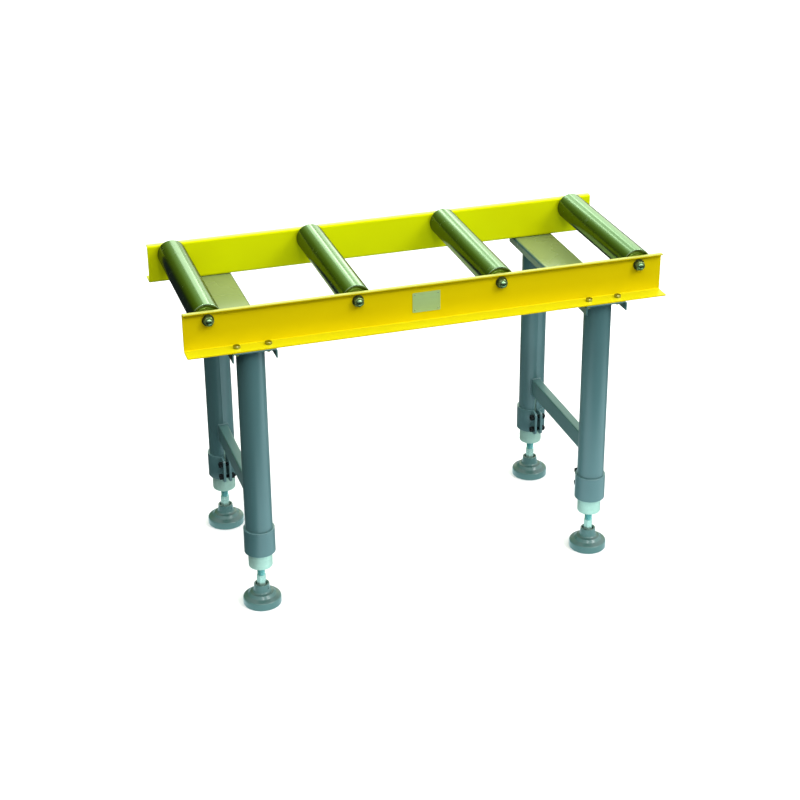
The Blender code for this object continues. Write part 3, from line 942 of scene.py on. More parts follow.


# The rails' tops take painted shade through the up-face mask, their lips a painted highlight, and mirrors see
# them with painted shade.
RAIL_LOOK = {
    "dust_amount": 0.8, "dust_matt": 0.05, "dust_even": 0.8, "coat": 0.0, "gloss": 0.4, "mirrored": 0.36,
}
FRONT_RAIL_PAINT = PowderCoat(
    "front_rail_powder_coat", "rail_paint", (0.82, 0.655, 0.001), (0.78, 0.615, 0.001), 0.32,
    edge=(0.55, 0.52, 0.04), dust=(0.60, 0.60, 0.005), gloss_tint=(1.0, 0.86, 0.05),
    rubbed=(0.48, 0.50, 0.10), **RAIL_LOOK,
)
REAR_RAIL_PAINT = PowderCoat(
    "rear_rail_powder_coat", "rail_paint", (0.70, 0.755, 0.001), (0.66, 0.70, 0.001), 0.32,
    edge=(0.55, 0.56, 0.04), dust=(0.62, 0.66, 0.005), gloss_tint=(1.0, 0.95, 0.05),
    rubbed=(0.46, 0.50, 0.12), **RAIL_LOOK,
)
STAND_PAINT = PowderCoat(
    "stand_powder_coat", "stand_paint", (0.083, 0.186, 0.192), (0.073, 0.164, 0.170), 0.30,
    edge=(0.22, 0.35, 0.34), dust=(0.30, 0.38, 0.34), dust_amount=0.04, coat=0.10, gloss=0.65,
)
# The channels' tops carry a painted reflection of the yellow rails: an olive colour laid on through the
# up-face mask.
CHANNEL_PAINT = PowderCoat(
    "channel_powder_coat", "stand_paint", (0.082, 0.190, 0.184), (0.072, 0.168, 0.163), 0.24,
    edge=(0.22, 0.35, 0.34), dust=(0.30, 0.37, 0.095), dust_amount=0.8, dust_matt=0.02,
    dust_even=0.96, coat=0.8,
)
# The feet's tops are darkened through the up-face mask: painted shade from the legs above.
FOOT_PAINT = PowderCoat(
    "foot_satin_coat", "foot_grey", (0.076, 0.178, 0.166), (0.065, 0.153, 0.141), 0.28,
    edge=(0.18, 0.31, 0.28), dust=(0.016, 0.052, 0.044), dust_amount=0.85, dust_matt=0.02,
    dust_even=0.8, wear=0.12, peel_scale=420.0, peel=0.10, coat=0.35, gloss=0.35,
)
# The brace's top is darkened through the up-face mask: painted shade.
BRACE_PAINT = PowderCoat(
    "brace_powder_coat", "stand_paint", (0.082, 0.190, 0.184), (0.072, 0.168, 0.163), 0.32,
    edge=(0.22, 0.35, 0.34), dust=(0.060, 0.145, 0.137), dust_amount=0.75, dust_matt=0.1,
    dust_even=0.8, coat=0.05,
)
ROLLER_STEEL = Metal(
    "drawn_roller_steel", "roller_steel", (0.265, 0.40, 0.235), (0.235, 0.36, 0.21), 0.20,
    stretch=(420.0, 3.0, 420.0), lines=0.01, mottle=9.0, edge=(0.60, 0.80, 0.48), spread=0.03,
    stretched=0.3,
)
# The covers' olive-yellow colour is a painted reflection of the yellow rails.
HOUSING_STEEL = Metal(
    "end_housing_steel", "bearing_steel", (0.19, 0.34, 0.008), (0.125, 0.23, 0.004), 0.32,
    stretch=(500.0, 500.0, 500.0), mottle=120.0, edge=(0.45, 0.60, 0.14), metallic=0.3,
)
# The races' olive-yellow colour is a painted reflection of the yellow rails.
RACE_STEEL = Metal(
    "bearing_race_steel", "bearing_steel", (0.44, 0.56, 0.09), (0.30, 0.38, 0.04), 0.30,
    stretch=(500.0, 500.0, 500.0), mottle=120.0, metallic=0.5,
)
RIVET_ZINC = Metal(
    "bright_fastener_zinc", "fastener_steel", (0.50, 0.62, 0.46), (0.34, 0.44, 0.30), 0.28,
    stretch=(700.0, 700.0, 700.0), mottle=140.0,
)
# The washers are drawn near black with an olive tint.
WASHER_ZINC = Metal(
    "dull_washer_zinc", "fastener_steel", (0.10, 0.12, 0.02), (0.05, 0.06, 0.01), 0.30,
    stretch=(600.0, 600.0, 600.0), mottle=160.0, edge=(0.25, 0.30, 0.10), metallic=0.6,
)
NUT_ZINC = Metal(
    "axle_nut_zinc", "fastener_steel", (0.26, 0.38, 0.14), (0.15, 0.23, 0.06), 0.26,
    stretch=(700.0, 700.0, 700.0), mottle=140.0, edge=(0.62, 0.74, 0.50), metallic=0.6,
)
AXLE_ZINC = Metal(
    "axle_zinc", "fastener_steel", (0.30, 0.52, 0.27), (0.19, 0.34, 0.16), 0.26,
    stretch=(700.0, 40.0, 700.0), mottle=120.0, edge=(0.66, 0.84, 0.66),
)
# The bolts' light yellow colour is a painted reflection of the yellow rail.
BOLT_ZINC = Metal(
    "yellow_bolt_zinc", "fastener_steel", (0.95, 0.96, 0.42), (0.55, 0.55, 0.12), 0.18,
    stretch=(700.0, 700.0, 700.0), mottle=140.0, edge=(0.98, 0.98, 0.60),
)
TUBE_ZINC = Metal(
    "satin_tube_zinc", "zinc_tube", (0.50, 0.73, 0.62), (0.36, 0.55, 0.46), 0.42,
    stretch=(40.0, 40.0, 900.0), mottle=60.0, edge=(0.90, 1.0, 0.97), spread=0.06, metallic=0.25,
    spots=0.9,
)
SPINDLE_ZINC = Metal(
    "bright_spindle_zinc", "spindle_zinc", (0.46, 0.70, 0.60), (0.35, 0.54, 0.47), 0.26,
    stretch=(300.0, 300.0, 900.0), mottle=110.0, metallic=0.45,
)
THREAD_ZINC = Metal(
    "blue_thread_zinc", "spindle_zinc", (0.31, 0.74, 0.70), (0.16, 0.43, 0.44), 0.26,
    stretch=(300.0, 300.0, 900.0), mottle=110.0, edge=(0.40, 0.72, 0.80), metallic=0.45,
)
BLACK_SCREW = BlackOxide(
    "black_screw_oxide", "black_oxide", (0.005, 0.009, 0.010), (0.002, 0.004, 0.005), 0.40,
)
PLATE_METAL = Metal(
    "brushed_plate", "fastener_steel", (0.57, 0.82, 0.36), (0.50, 0.72, 0.30), 0.38,
    stretch=(9.0, 9.0, 2600.0), lines=0.06, mottle=40.0, edge=(0.62, 0.72, 0.42), wear=0.3, metallic=0.3,
)
RAIL_PAINTS = {Face.FRONT: FRONT_RAIL_PAINT, Face.REAR: REAR_RAIL_PAINT}


@dataclass
class Part:
    """Base of a sub-assembly, which knows how to turn a draft into a finished piece."""

    def add(
        self,
        name: str,
        draft: Draft,
        finish: Finish,
        body: str = "frame",
        stands_for: str | None = None,
        sharp: float = 34.0,
    ) -> bpy.types.Object:
        """Make, dress and mount one piece.

        Args:
            name: Name of the piece.
            draft: Its mesh.
            finish: Its finish.
            body: The CAD body that it moves with.
            stands_for: The CAD node that it replaces, if any.
            sharp: Edges that bend by more than this, in degrees, stay crisp.

        Returns:
            The piece.
        """
        piece = draft.object(name, sharp)
        piece.data.materials.append(finish.material())
        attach(piece, body)
        if stands_for:
            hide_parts(stands_for)
        LOG.info("%s on %s: %d faces", name, body, len(piece.data.polygons))
        return piece


@dataclass
class SideRail(Part):
    """A bent rail: upright web, short lip at the top and wide flange at the bottom."""

    face: Face
    lip: float = 0.0125

    def build(self) -> None:
        """Sweep the bent section along X."""
        node = f"{self.face.word}_side_rail"
        low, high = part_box(node)
        reach, height = high.y - low.y, high.z - low.z
        outside = SHEET_BEND + SHEET
        outline = filleted(
            [
                (reach, 0, SHEET_EDGE),
                (reach, SHEET, SHEET_EDGE),
                (SHEET, SHEET, SHEET_BEND),
                (SHEET, height - SHEET, SHEET_BEND),
                (self.lip, height - SHEET, SHEET_EDGE),
                (self.lip, height, SHEET_EDGE),
                (0, height, outside),
                (0, 0, outside),
            ]
        )
        rows = extruded(outline, high.x - low.x, FINE_EDGE)
        web = min(abs(low.y), abs(high.y))
        across = self.face.value * (rows[..., 0] + web)
        swept = np.stack([rows[..., 2] + low.x, across, rows[..., 1] + low.z], axis=-1)
        draft = Draft().grid(swept, caps=True)
        self.add(f"{self.face.word}_rail", draft, RAIL_PAINTS[self.face], stands_for=node)


@dataclass
class NamePlate(Part):
    """A small bare plate riveted to the front rail's web."""

    flange: float = 0.034
    centre_x: float = -0.0085
    centre_z: float = 0.639
    width: float = 0.058
    height: float = 0.042
    thickness: float = 0.0008
    gap: float = 0.0001
    corner: float = 0.0018
    least_corner: float = 0.0004
    side: float = 0.75
    slope: float = 0.0001
    groove: float = 0.0022
    groove_width: float = 0.0003
    groove_floor: float = 0.8
    rivet: float = 0.0013
    rivet_rise: float = 0.6
    rivet_inset: float = 0.0045
    rivet_gap: float = 0.00005

    def build(self) -> None:
        """Make the plate, and a rivet near each of its corners."""
        low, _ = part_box("front_side_rail")
        web = low.y + self.flange
        self.build_plate(web)
        self.build_rivets(web)

    def build_plate(self, web: float) -> None:
        """Stack rounded rectangles at several insets and heights, with a groove near the edge.

        Args:
            web: Place of the rail's web along Y.
        """
        bottom = self.groove + self.slope
        steps = [
            (0.0, 0.0),
            (0.0, self.side),
            (self.slope, 1.0),
            (self.groove, 1.0),
            (bottom, self.groove_floor),
            (bottom + self.groove_width, self.groove_floor),
            (bottom + self.groove_width + self.slope, 1.0),
        ]
        rings = []
        for inset, level in steps:
            corner = max(self.corner - inset, self.least_corner)
            ring = filleted(rectangle(self.width - 2 * inset, self.height - 2 * inset, corner))
            rings.append(np.column_stack([ring, np.full(len(ring), level * self.thickness)]))
        centre = (self.centre_x, web - self.gap, self.centre_z)
        plate = Draft().grid(np.stack(rings), Turn.TO_FRONT, centre, caps=True)
        self.add("name_plate", plate, PLATE_METAL, sharp=30)

    def build_rivets(self, web: float) -> None:
        """Set low domes on the plate, each a quarter of an ellipse turned about its axis.

        Args:
            web: Place of the rail's web along Y.
        """
        angle = np.linspace(0, math.pi / 2, 7)[:-1]
        dome = self.rivet * np.column_stack([np.cos(angle), self.rivet_rise * np.sin(angle)])
        x = self.width / 2 - self.rivet_inset
        z = self.height / 2 - self.rivet_inset
        y = web - self.thickness - self.rivet_gap
        rivets = Draft()
        for along in (-x, x):
            for up in (-z, z):
                at = (self.centre_x + along, y, self.centre_z + up)
                rivets.grid(revolved(dome, SMALL_COLUMNS), Turn.TO_FRONT, at, caps=True)
        self.add("name_plate_rivets", rivets, RIVET_ZINC, sharp=50)


def hex_nut(flats: float, height: float, bore: float) -> Array:
    """Grid of a nut with both faces chamfered at 30 degrees.

    From the bore the surface goes over the flat face, down a cone to the hexagon's own radius, along
    the sides, and back the same way.

    Args:
        flats: Width across the flats.
        height: Height of the nut.
        bore: Radius of the hole.

    Returns:
        Points, shaped (rows, columns, 3). The rows close in a loop.
    """
    angle, side = hexagon(flats)
    flat, lead = NUT_FLAT * flats, NUT_LEAD * flats
    drop = cone_drop(side, flat)
    radius, z = joined_rows(
        (bore, lead),
        (bore, height - lead),
        (bore + lead, height),
        (flat, height),
        (side, height - drop),
        (side, drop),
        (flat, 0.0),
        (bore + lead, 0.0),
        columns=len(angle),
    )
    return polar(radius, z, angle)


@dataclass
class RollerUnit(Part):
    """One roller with its two bearings, and its fixed axle with washers and nuts."""

    number: int
    columns: int = 128
    wall: float = 0.004
    recess: float = 0.006
    step: float = 0.0012
    seat: float = 0.0164
    boss_wall: float = 0.003
    shoulder: float = 0.003
    shoulder_reach: float = 0.0038
    cover_room: float = 0.0002
    cover_rim: Span = (-0.0011, -0.0004)
    cover_boss: Span = (0.0002, 0.0008)
    cover_slope: Span = (0.0010, 0.0016)
    bearing_width: float = 0.009
    race: float = 0.0026
    hub: float = 0.0022
    shield: float = 0.0007
    shield_slope: float = 0.0003
    axle: float = 0.0075
    undercut: Span = (0.0001, 0.0006)
    thread: Thread = Thread(0.006, 0.00095, 0.00175, 0.0012, tip=0.0004)
    hole_room: float = 0.0004
    washer: float = 0.012
    washer_thickness: float = 0.0025
    nut_flats: float = 0.018
    nut_height: float = 0.009
    nut_start: float = 0.35
    nut_step: float = 1.7

    def build(self) -> None:
        """Build the shell, bearings and axle where the frame has them."""
        low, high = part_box(f"roller_shell_{self.number}")
        self.at: Point = tuple((low + high) / 2)
        self.body = f"roller_{self.number}"
        self.outer = (high.x - low.x) / 2
        self.inner = self.outer - self.wall
        self.end = (high.y - low.y) / 2
        self.plane = self.end - self.recess
        self.boss = self.seat + self.boss_wall
        self.build_shell()
        for face in Face:
            self.build_cover(face)
        for face in Face:
            self.build_bearing(face)
        self.build_axle()

    def build_shell(self) -> None:
        """Turn a tube with recessed ends and rounded rims about Y.

        Each corner is a radius, a distance from the roller's middle and a fillet.
        """
        stop = self.plane - self.bearing_width - SEAT_GAP
        back = stop - self.shoulder
        bore = self.seat - self.shoulder_reach
        half = [
            (self.outer, self.end, 0.0009),
            (self.inner, self.end, 0.0006),
            (self.inner, self.plane - self.step, 0.0009),
            (self.boss + self.step, self.plane - self.step, 0.0008),
            (self.boss, self.plane, 0.0004),
            (self.seat, self.plane, 0.0003),
            (self.seat, stop, 0.0003),
            (bore, stop, 0.0003),
            (bore, back, 0.0003),
            (self.inner, back, 0.0009),
        ]
        loop = half + [(radius, -y, fillet) for radius, y, fillet in reversed(half)]
        draft = Draft().grid(revolved(filleted(loop), self.columns), Turn.TO_REAR, self.at, loop=True)
        self.add(f"roller_{self.number}_tube", draft, ROLLER_STEEL, self.body, f"roller_shell_{self.number}")

    def build_cover(self, face: Face) -> None:
        """Turn the thin pressed cover of an end, flat at the rim and sloped up to the boss.

        Args:
            face: Side of the table that it is on.
        """
        under, rim = (self.plane + rise for rise in self.cover_rim)
        raised, top = (self.plane + rise for rise in self.cover_boss)
        foot, slope = (self.boss + reach for reach in self.cover_slope)
        edge = self.inner - self.cover_room
        loop = [
            (edge, under, 0),
            (edge, rim, 0.0003),
            (slope, rim, 0.0008),
            (self.boss, top, 0.0005),
            (self.seat, top, 0.0003),
            (self.seat, raised, 0),
            (self.boss - self.cover_room, raised, 0),
            (foot, under, 0),
        ]
        draft = Draft().grid(revolved(filleted(loop, 4)), face.turn, self.at, loop=True)
        self.add(f"{face.word}_end_housing_{self.number}", draft, HOUSING_STEEL, self.body)

    def build_bearing(self, face: Face) -> None:
        """Turn a bearing ring with two races and a sunk shield between them.

        Args:
            face: Side of the table that it is on.
        """
        node = f"{face.word}_bearing_{self.number}"
        low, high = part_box(node)
        width = high.y - low.y
        outer = (high.x - low.x) / 2
        bore = self.axle + SEAT_GAP
        race, hub = outer - self.race, bore + self.hub
        sunk = width - self.shield
        loop = [
            (outer, 0, 0.0005),
            (outer, width, 0.0006),
            (race, width, 0.0002),
            (race - self.shield_slope, sunk, 0.0002),
            (hub + self.shield_slope, sunk, 0.0002),
            (hub, width, 0.0002),
            (bore, width, 0.0003),
            (bore, 0, 0.0003),
        ]
        inner_y = low.y if face is Face.REAR else high.y
        at = (self.at[0], inner_y, self.at[2])
        draft = Draft().grid(revolved(filleted(loop, 3), SMALL_COLUMNS), face.turn, at, loop=True)
        self.add(f"{face.word}_bearing_ring_{self.number}", draft, RACE_STEEL, self.body, node)

    def build_axle(self) -> None:
        """Turn the axle with threaded ends, and set a washer and a nut on each."""
        node = f"roller_axle_{self.number}"
        _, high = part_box(node)
        rail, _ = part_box("rear_side_rail")
        shoulder = rail.y - SEAT_GAP
        narrow, first = (shoulder + step for step in self.undercut)
        root = self.thread.radius - self.thread.depth
        plain = [(shoulder, self.axle, 0.0), (narrow, root, 0.0)]
        half = np.concatenate([plain, self.thread.rows(first, high.y)])
        rows = np.concatenate([(half * (-1, 1, 1))[::-1], half])
        rod = self.thread.rod(rows, SMALL_COLUMNS)
        draft = Draft().grid(rod, Turn.TO_REAR, self.at, caps=True)
        self.add(f"axle_{self.number}", draft, AXLE_ZINC, stands_for=node)
        hole = self.thread.radius + self.hole_room
        ring = filleted(
            [
                (hole, 0, 0.0002),
                (self.washer, 0, 0.0003),
                (self.washer, self.washer_thickness, 0.0007),
                (hole, self.washer_thickness, 0.0004),
            ],
            4,
        )
        nut = hex_nut(self.nut_flats, self.nut_height, self.thread.radius - self.hole_room)
        nut = spun(nut, self.nut_start + self.nut_step * self.number)
        web = rail.y + SHEET + SEAT_GAP
        for face in Face:
            start = (self.at[0], face.value * web, self.at[2])
            seat = (self.at[0], face.value * (web + self.washer_thickness), self.at[2])
            draft = Draft().grid(revolved(ring, SMALL_COLUMNS), face.turn, start, loop=True)
            self.add(f"{face.word}_axle_washer_{self.number}", draft, WASHER_ZINC)
            draft = Draft().grid(nut, face.turn, seat, loop=True)
            self.add(f"{face.word}_axle_nut_{self.number}", draft, NUT_ZINC, sharp=24)


def weld_bead(line: Array, outward: Array, radius: float, ripples: int) -> Array:
    """Rippled tube along a closed line.

    A circle is carried along the line in the plane of the outward direction and its cross product
    with the line's own direction. Its radius swells by a tenth in slanted waves, one for each ripple,
    and by less in waves of three and seven to the whole line.

    Args:
        line: Points of the closed line, shaped (points, 3).
        outward: Direction away from the joint at each point.
        radius: Mean radius of the bead.
        ripples: Number of waves along the line.

    Returns:
        Points, shaped (points, around, 3), that close both ways.
    """
    ahead = unit(np.roll(line, -1, axis=0) - np.roll(line, 1, axis=0))
    across = unit(np.cross(ahead, outward))
    outward = unit(np.cross(across, ahead))
    angle = around(BEAD_COLUMNS)
    travel = around(len(line))[:, None]
    swell = radius * (1 + 0.10 * np.cos(ripples * travel + 0.9 * np.cos(angle)))
    swell = swell * (1 + 0.07 * np.sin(3 * travel + 1.0) + 0.05 * np.sin(7 * travel))
    ring = np.cos(angle)[:, None] * outward[:, None] + np.sin(angle)[:, None] * across[:, None]
    return line[:, None] + swell[..., None] * ring


def resampled(loop: Array, count: int) -> Array:
    """Evenly spaced points along a closed outline, by its length.

    Args:
        loop: Points of the outline, shaped (points, 2).
        count: Number of new points.

    Returns:
        The new points, shaped (count, 2).
    """
    closed = np.vstack([loop, loop[:1]])
    travel = np.concatenate([[0], np.cumsum(np.linalg.norm(np.diff(closed, axis=0), axis=1))])
    at = np.linspace(0, travel[-1], count, endpoint=False)
    return np.column_stack([np.interp(at, travel, closed[:, 0]), np.interp(at, travel, closed[:, 1])])


@dataclass
class LegStand(Part):
    """A stand of two legs: the channel across its top, the brace, the welds and the flange bolts."""

    end: End
    setback: float = 0.0025
    brace_wall: float = 0.002
    brace_corner: float = 0.003
    brace_rows: int = 9
    brace_steps: int = 6
    brace_ripples: int = 38
    bead_spread: float = 0.3
    top_ripples: int = 46
    top_drop: float = 0.0012
    top_reach: float = 0.0008
    bolt: Thread = Thread(0.004, 0.0007, 0.00125, 0.0009)
    bolt_flats: float = 0.013
    bolt_flat: float = 0.46
    bolt_head: float = 0.0055
    bolt_dish: float = 0.00012
    bolt_neck: float = 0.0005
    bolt_nut: float = 0.0065
    bolt_bite: float = 0.0003
    bolt_turn: float = 0.4
    bolt_turn_along: float = 2.3
    bolt_turn_across: float = 1.1

    def build(self) -> None:
        """Build the stand's own pieces and then its legs."""
        low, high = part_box(f"front_{self.end.word}_leg_tube")
        self.leg_radius = (high.x - low.x) / 2
        self.leg_y = abs(low.y + high.y) / 2
        self.leg_top = high.z
        self.x = (low.x + high.x) / 2
        self.build_channel()
        self.build_brace()
        self.build_top_welds()
        for face in Face:
            for along in End:
                self.build_bolt(face, along)
            Leg(self.end, face).build()

    def build_channel(self) -> None:
        """Sweep an open channel section along Y, its ends a little behind the flanges' edges."""
        node = f"{self.end.word}_cross_channel"
        low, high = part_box(node)
        half, depth = (high.x - low.x) / 2, high.z - low.z
        outside = SHEET_BEND + SHEET
        inner = half - SHEET
        outline = filleted(
            [
                (half, -depth, SHEET_EDGE),
                (half, 0, outside),
                (-half, 0, outside),
                (-half, -depth, SHEET_EDGE),
                (-inner, -depth, SHEET_EDGE),
                (-inner, -SHEET, SHEET_BEND),
                (inner, -SHEET, SHEET_BEND),
                (inner, -depth, SHEET_EDGE),
            ]
        )
        rows = extruded(outline, high.y - low.y - 2 * self.setback, FINE_EDGE)
        along = rows[..., 2] + low.y + self.setback
        swept = np.stack([rows[..., 0] + self.x, along, rows[..., 1] + high.z], axis=-1)
        self.add(f"{self.end.word}_channel", Draft().grid(swept, caps=True), CHANNEL_PAINT, stands_for=node)

    def build_brace(self) -> None:
        """Carry a rounded tube section between the legs, with each end on the leg's curve.

        A point of the section at distance x from its middle runs to y = leg y - sqrt(r r - x x).
        """
        node = f"{self.end.word}_brace"
        low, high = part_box(node)
        width, height = high.x - low.x, high.z - low.z
        middle = (low.z + high.z) / 2
        share = np.linspace(-1, 1, self.brace_rows)[:, None]
        walls = []
        for inset in (0.0, self.brace_wall):
            corners = rectangle(width - 2 * inset, height - 2 * inset, self.brace_corner - inset)
            section = filleted(corners, self.brace_steps)
            reach = self.leg_y - np.sqrt((self.leg_radius + SEAT_GAP) ** 2 - section[:, 0] ** 2)
            x = np.broadcast_to(section[:, 0] + self.x, (self.brace_rows, len(section)))
            z = np.broadcast_to(section[:, 1] + middle, (self.brace_rows, len(section)))
            walls.append(np.stack([x, share * reach, z], axis=-1))
        draft = Draft().sheet(walls[0], walls[1], wrap=True)
        self.add(f"{self.end.word}_brace_tube", draft, BRACE_PAINT, stands_for=node)
        self.build_brace_welds(width, height, middle)

    def build_brace_welds(self, width: float, height: float, middle: float) -> None:
        """Run a bead round each end of the brace, on the leg's curve.

        Args:
            width: Width of the brace.
            height: Height of the brace.
            middle: Height of the brace's middle above the floor.
        """
        spread = self.bead_spread * WELD_BEAD
        corners = rectangle(width + 2 * spread, height + 2 * spread, self.brace_corner)
        line = resampled(filleted(corners, self.brace_steps), BEAD_POINTS)
        reach = self.leg_y - np.sqrt((self.leg_radius + spread) ** 2 - line[:, 0] ** 2)
        welds = Draft()
        for face in Face:
            y = face.value * reach
            joint = np.column_stack([line[:, 0] + self.x, y, line[:, 1] + middle])
            outward = np.column_stack([line[:, 0], y - face.value * self.leg_y, 0 * y])
            welds.grid(weld_bead(joint, outward, WELD_BEAD, self.brace_ripples), loop=True)
        self.add(f"{self.end.word}_brace_welds", welds, STAND_PAINT)

    def build_top_welds(self) -> None:
        """Run a bead round each leg's top, under the channel."""
        angle = around(BEAD_POINTS)
        ring = np.column_stack([np.cos(angle), np.sin(angle), 0 * angle])
        line = (self.leg_radius + self.top_reach) * ring
        welds = Draft()
        for face in Face:
            centre = np.array([self.x, face.value * self.leg_y, self.leg_top - self.top_drop])
            welds.grid(weld_bead(centre + line, ring, WELD_BEAD, self.top_ripples), loop=True)
        self.add(f"{self.end.word}_top_welds", welds, STAND_PAINT)

    def build_bolt(self, face: Face, along: End) -> None:
        """Make a hexagon bolt with a dished, chamfered head and a threaded shank, and its nut.

        Args:
            face: Side of the table that it is on.
            along: Side of the channel's middle that it is on.
        """
        node = f"{face.word}_{self.end.word}_flange_bolt_{along.word}"
        low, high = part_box(node)
        at = ((low.x + high.x) / 2, (low.y + high.y) / 2, high.z)
        angle, side = hexagon(self.bolt_flats)
        flat, foot = self.bolt_flat * self.bolt_flats, -self.bolt_head
        radius, z = joined_rows(
            (0.3 * flat, -self.bolt_dish),
            (0.8 * flat, -self.bolt_dish),
            (flat, 0.0),
            (side, -cone_drop(side, flat)),
            (side, foot + FINE_EDGE),
            (side - FINE_EDGE, foot),
            (self.bolt.radius, foot),
            columns=len(angle),
        )
        shank = self.bolt.rod(self.bolt.rows(foot - self.bolt_neck, low.z - high.z), len(angle))
        spin = self.bolt_turn + self.bolt_turn_along * at[0] + self.bolt_turn_across * face.value
        rows = spun(np.concatenate([polar(radius, z, angle), shank]), spin)
        name = f"{face.word}_{self.end.word}_bolt_{along.word}"
        self.add(name, Draft().grid(rows, at=at, caps=True), BOLT_ZINC, stands_for=node, sharp=24)
        _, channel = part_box(f"{self.end.word}_cross_channel")
        seat = channel.z - SHEET - SEAT_GAP - self.bolt_nut
        nut = hex_nut(self.bolt_flats, self.bolt_nut, self.bolt.radius - self.bolt_bite)
        draft = Draft().grid(nut, at=(at[0], at[1], seat), loop=True)
        self.add(f"{name}_nut", draft, BOLT_ZINC, sharp=24)


@dataclass
class Leg(Part):
    """One telescopic leg: slit outer tube, clamp collar, inner tube, spindle and foot."""

    end: End
    face: Face
    wall: float = 0.003
    slit_width: float = 0.004
    slit_below_brace: float = 0.006
    seam: float = 0.0007
    seam_start: float = 0.01
    collar_wall: float = 0.004
    sleeve_points: int = 72
    ear_points: int = 12
    ear_gap: float = 0.008
    ear_thickness: float = 0.005
    ear_corner: float = 0.008
    ear_fillet: float = 0.003
    ear_fillet_points: int = 7
    screw: Thread = Thread(0.004, 0.0007, 0.00125, 0.0009)
    screw_columns: int = 144
    screw_head: float = 0.0065
    screw_head_height: float = 0.008
    screw_socket: float = 0.006
    screw_socket_depth: float = 0.0045
    screw_nut: float = 0.0065
    screw_bite: float = 0.0003
    knurls: int = 36
    knurl_depth: float = 0.00018
    tube_round: float = 0.003
    plug: float = 0.015
    plug_room: float = 0.0004
    spindle: Thread = Thread(0.008, 0.0012, 0.002, 0.002, tip=0.0006, blunt=0.0010)
    spindle_flats: float = 0.017
    spindle_flat: float = 0.475
    spindle_hex: float = 0.027
    spindle_in_hub: float = 0.006
    spindle_neck: float = 0.0055
    ball_rows: int = 12
    foot_core: float = 0.004
    foot_floor: float = 0.012
    foot_socket_room: float = 0.0027
    foot_hub: float = 0.0165
    pin_below_top: float = 0.010
    pin_radius: float = 0.00175
    pin_reach: Span = (0.008, 0.030)
    pin_azimuth: float = -45.0

    def build(self) -> None:
        """Build the leg from its top down."""
        self.name = f"{self.face.word}_{self.end.word}"
        self.inward = -self.face.value
        low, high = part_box(f"{self.name}_leg_tube")
        self.radius = (high.x - low.x) / 2
        self.x, self.y = (low.x + high.x) / 2, (low.y + high.y) / 2
        self.bottom, self.top = low.z, high.z
        self.build_tube()
        self.build_collar()
        for level in ("lower", "upper"):
            self.build_screw(level)
        self.build_inner_tube()
        self.build_spindle()
        self.build_foot()

    def build_tube(self) -> None:
        """Make the outer tube, with a sawn slit on its inner side.

        Angles run from one edge of the slit to the other and on round the tube. The quads between
        the slit's edges are left out below its top, the fourth level. From there up the middle angle
        stands proud as the tube's welded seam.
        """
        brace_low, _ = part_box(f"{self.end.word}_brace")
        height = self.top - self.bottom
        slit = brace_low.z - self.slit_below_brace - self.bottom
        levels = [0, TUBE_EDGE, slit / 2, slit, slit + self.seam_start, height - TUBE_EDGE, height]
        levels = np.array(levels)
        cut = np.array([-TUBE_EDGE, 0, 0, 0, 0, 0, -TUBE_EDGE])
        sides = []
        for radius, sign in ((self.radius, 1), (self.radius - self.wall, -1)):
            half = math.asin(self.slit_width / 2 / radius)
            gap = np.linspace(-half, half, 3)
            rest = np.linspace(half, TAU - half, ROUND_COLUMNS)[1:-1]
            angle = np.concatenate([gap, rest]) + self.inward * math.pi / 2
            rows = np.repeat((radius + sign * cut)[:, None], len(angle), axis=1)
            rows[3:, 1] += max(sign, 0) * self.seam
            sides.append(polar(rows, np.repeat(levels[:, None], len(angle), axis=1), angle))
        keep = np.ones((len(levels) - 1, sides[0].shape[1]), bool)
        keep[:3, :2] = False
        draft = Draft().sheet(sides[0], sides[1], (self.x, self.y, self.bottom), wrap=True, keep=keep)
        self.add(f"{self.name}_outer_tube", draft, STAND_PAINT, stands_for=f"{self.name}_leg_tube")

    def collar_sides(self, tip: float, outer: float, inner: float) -> tuple[Array, Array]:
        """Outer and inner plan lines of the collar, from one ear's tip round to the other's.

        The outer line is the ear's straight side, a fillet tangent to it and to the sleeve, and the
        sleeve's arc, mirrored. The inner line is the gap's side and the bore's arc.

        Args:
            tip: Distance of the ears' tips from the leg's axis.
            outer: Outer radius of the sleeve.
            inner: Inner radius of the sleeve.

        Returns:
            The two lines, of equal length, with Y towards the ears.
        """
        count, fillet, half = self.ear_points, self.ear_fillet, self.ear_gap / 2
        side = half + self.ear_thickness
        across = side + fillet
        up = math.sqrt((outer + fillet) ** 2 - across**2)
        eased = 1 - np.sin(np.linspace(0, math.pi / 2, count))[::-1]
        ear = np.column_stack([np.full(count, -side), tip + (up - tip) * eased])
        swing = np.linspace(0, math.atan2(-up, across), self.ear_fillet_points)[1:]
        bend = np.column_stack([-across + fillet * np.cos(swing), up + fillet * np.sin(swing)])
        start = math.atan2(up, -across)
        sweep = np.linspace(start, 3 * math.pi - start, self.sleeve_points)[1:-1]
        ring = outer * np.column_stack([np.cos(sweep), np.sin(sweep)])
        outside = np.concatenate([ear, bend, ring, (bend * (-1, 1))[::-1], (ear * (-1, 1))[::-1]])
        rim = math.sqrt(inner**2 - half**2)
        first = math.atan2(rim, -half)
        gap = np.column_stack([np.full(count, -half), tip + (rim - tip) * eased])
        sweep = np.linspace(first, 3 * math.pi - first, len(outside) - 2 * count + 2)[1:-1]
        bore = inner * np.column_stack([np.cos(sweep), np.sin(sweep)])
        return outside, np.concatenate([gap, bore, (gap * (-1, 1))[::-1]])

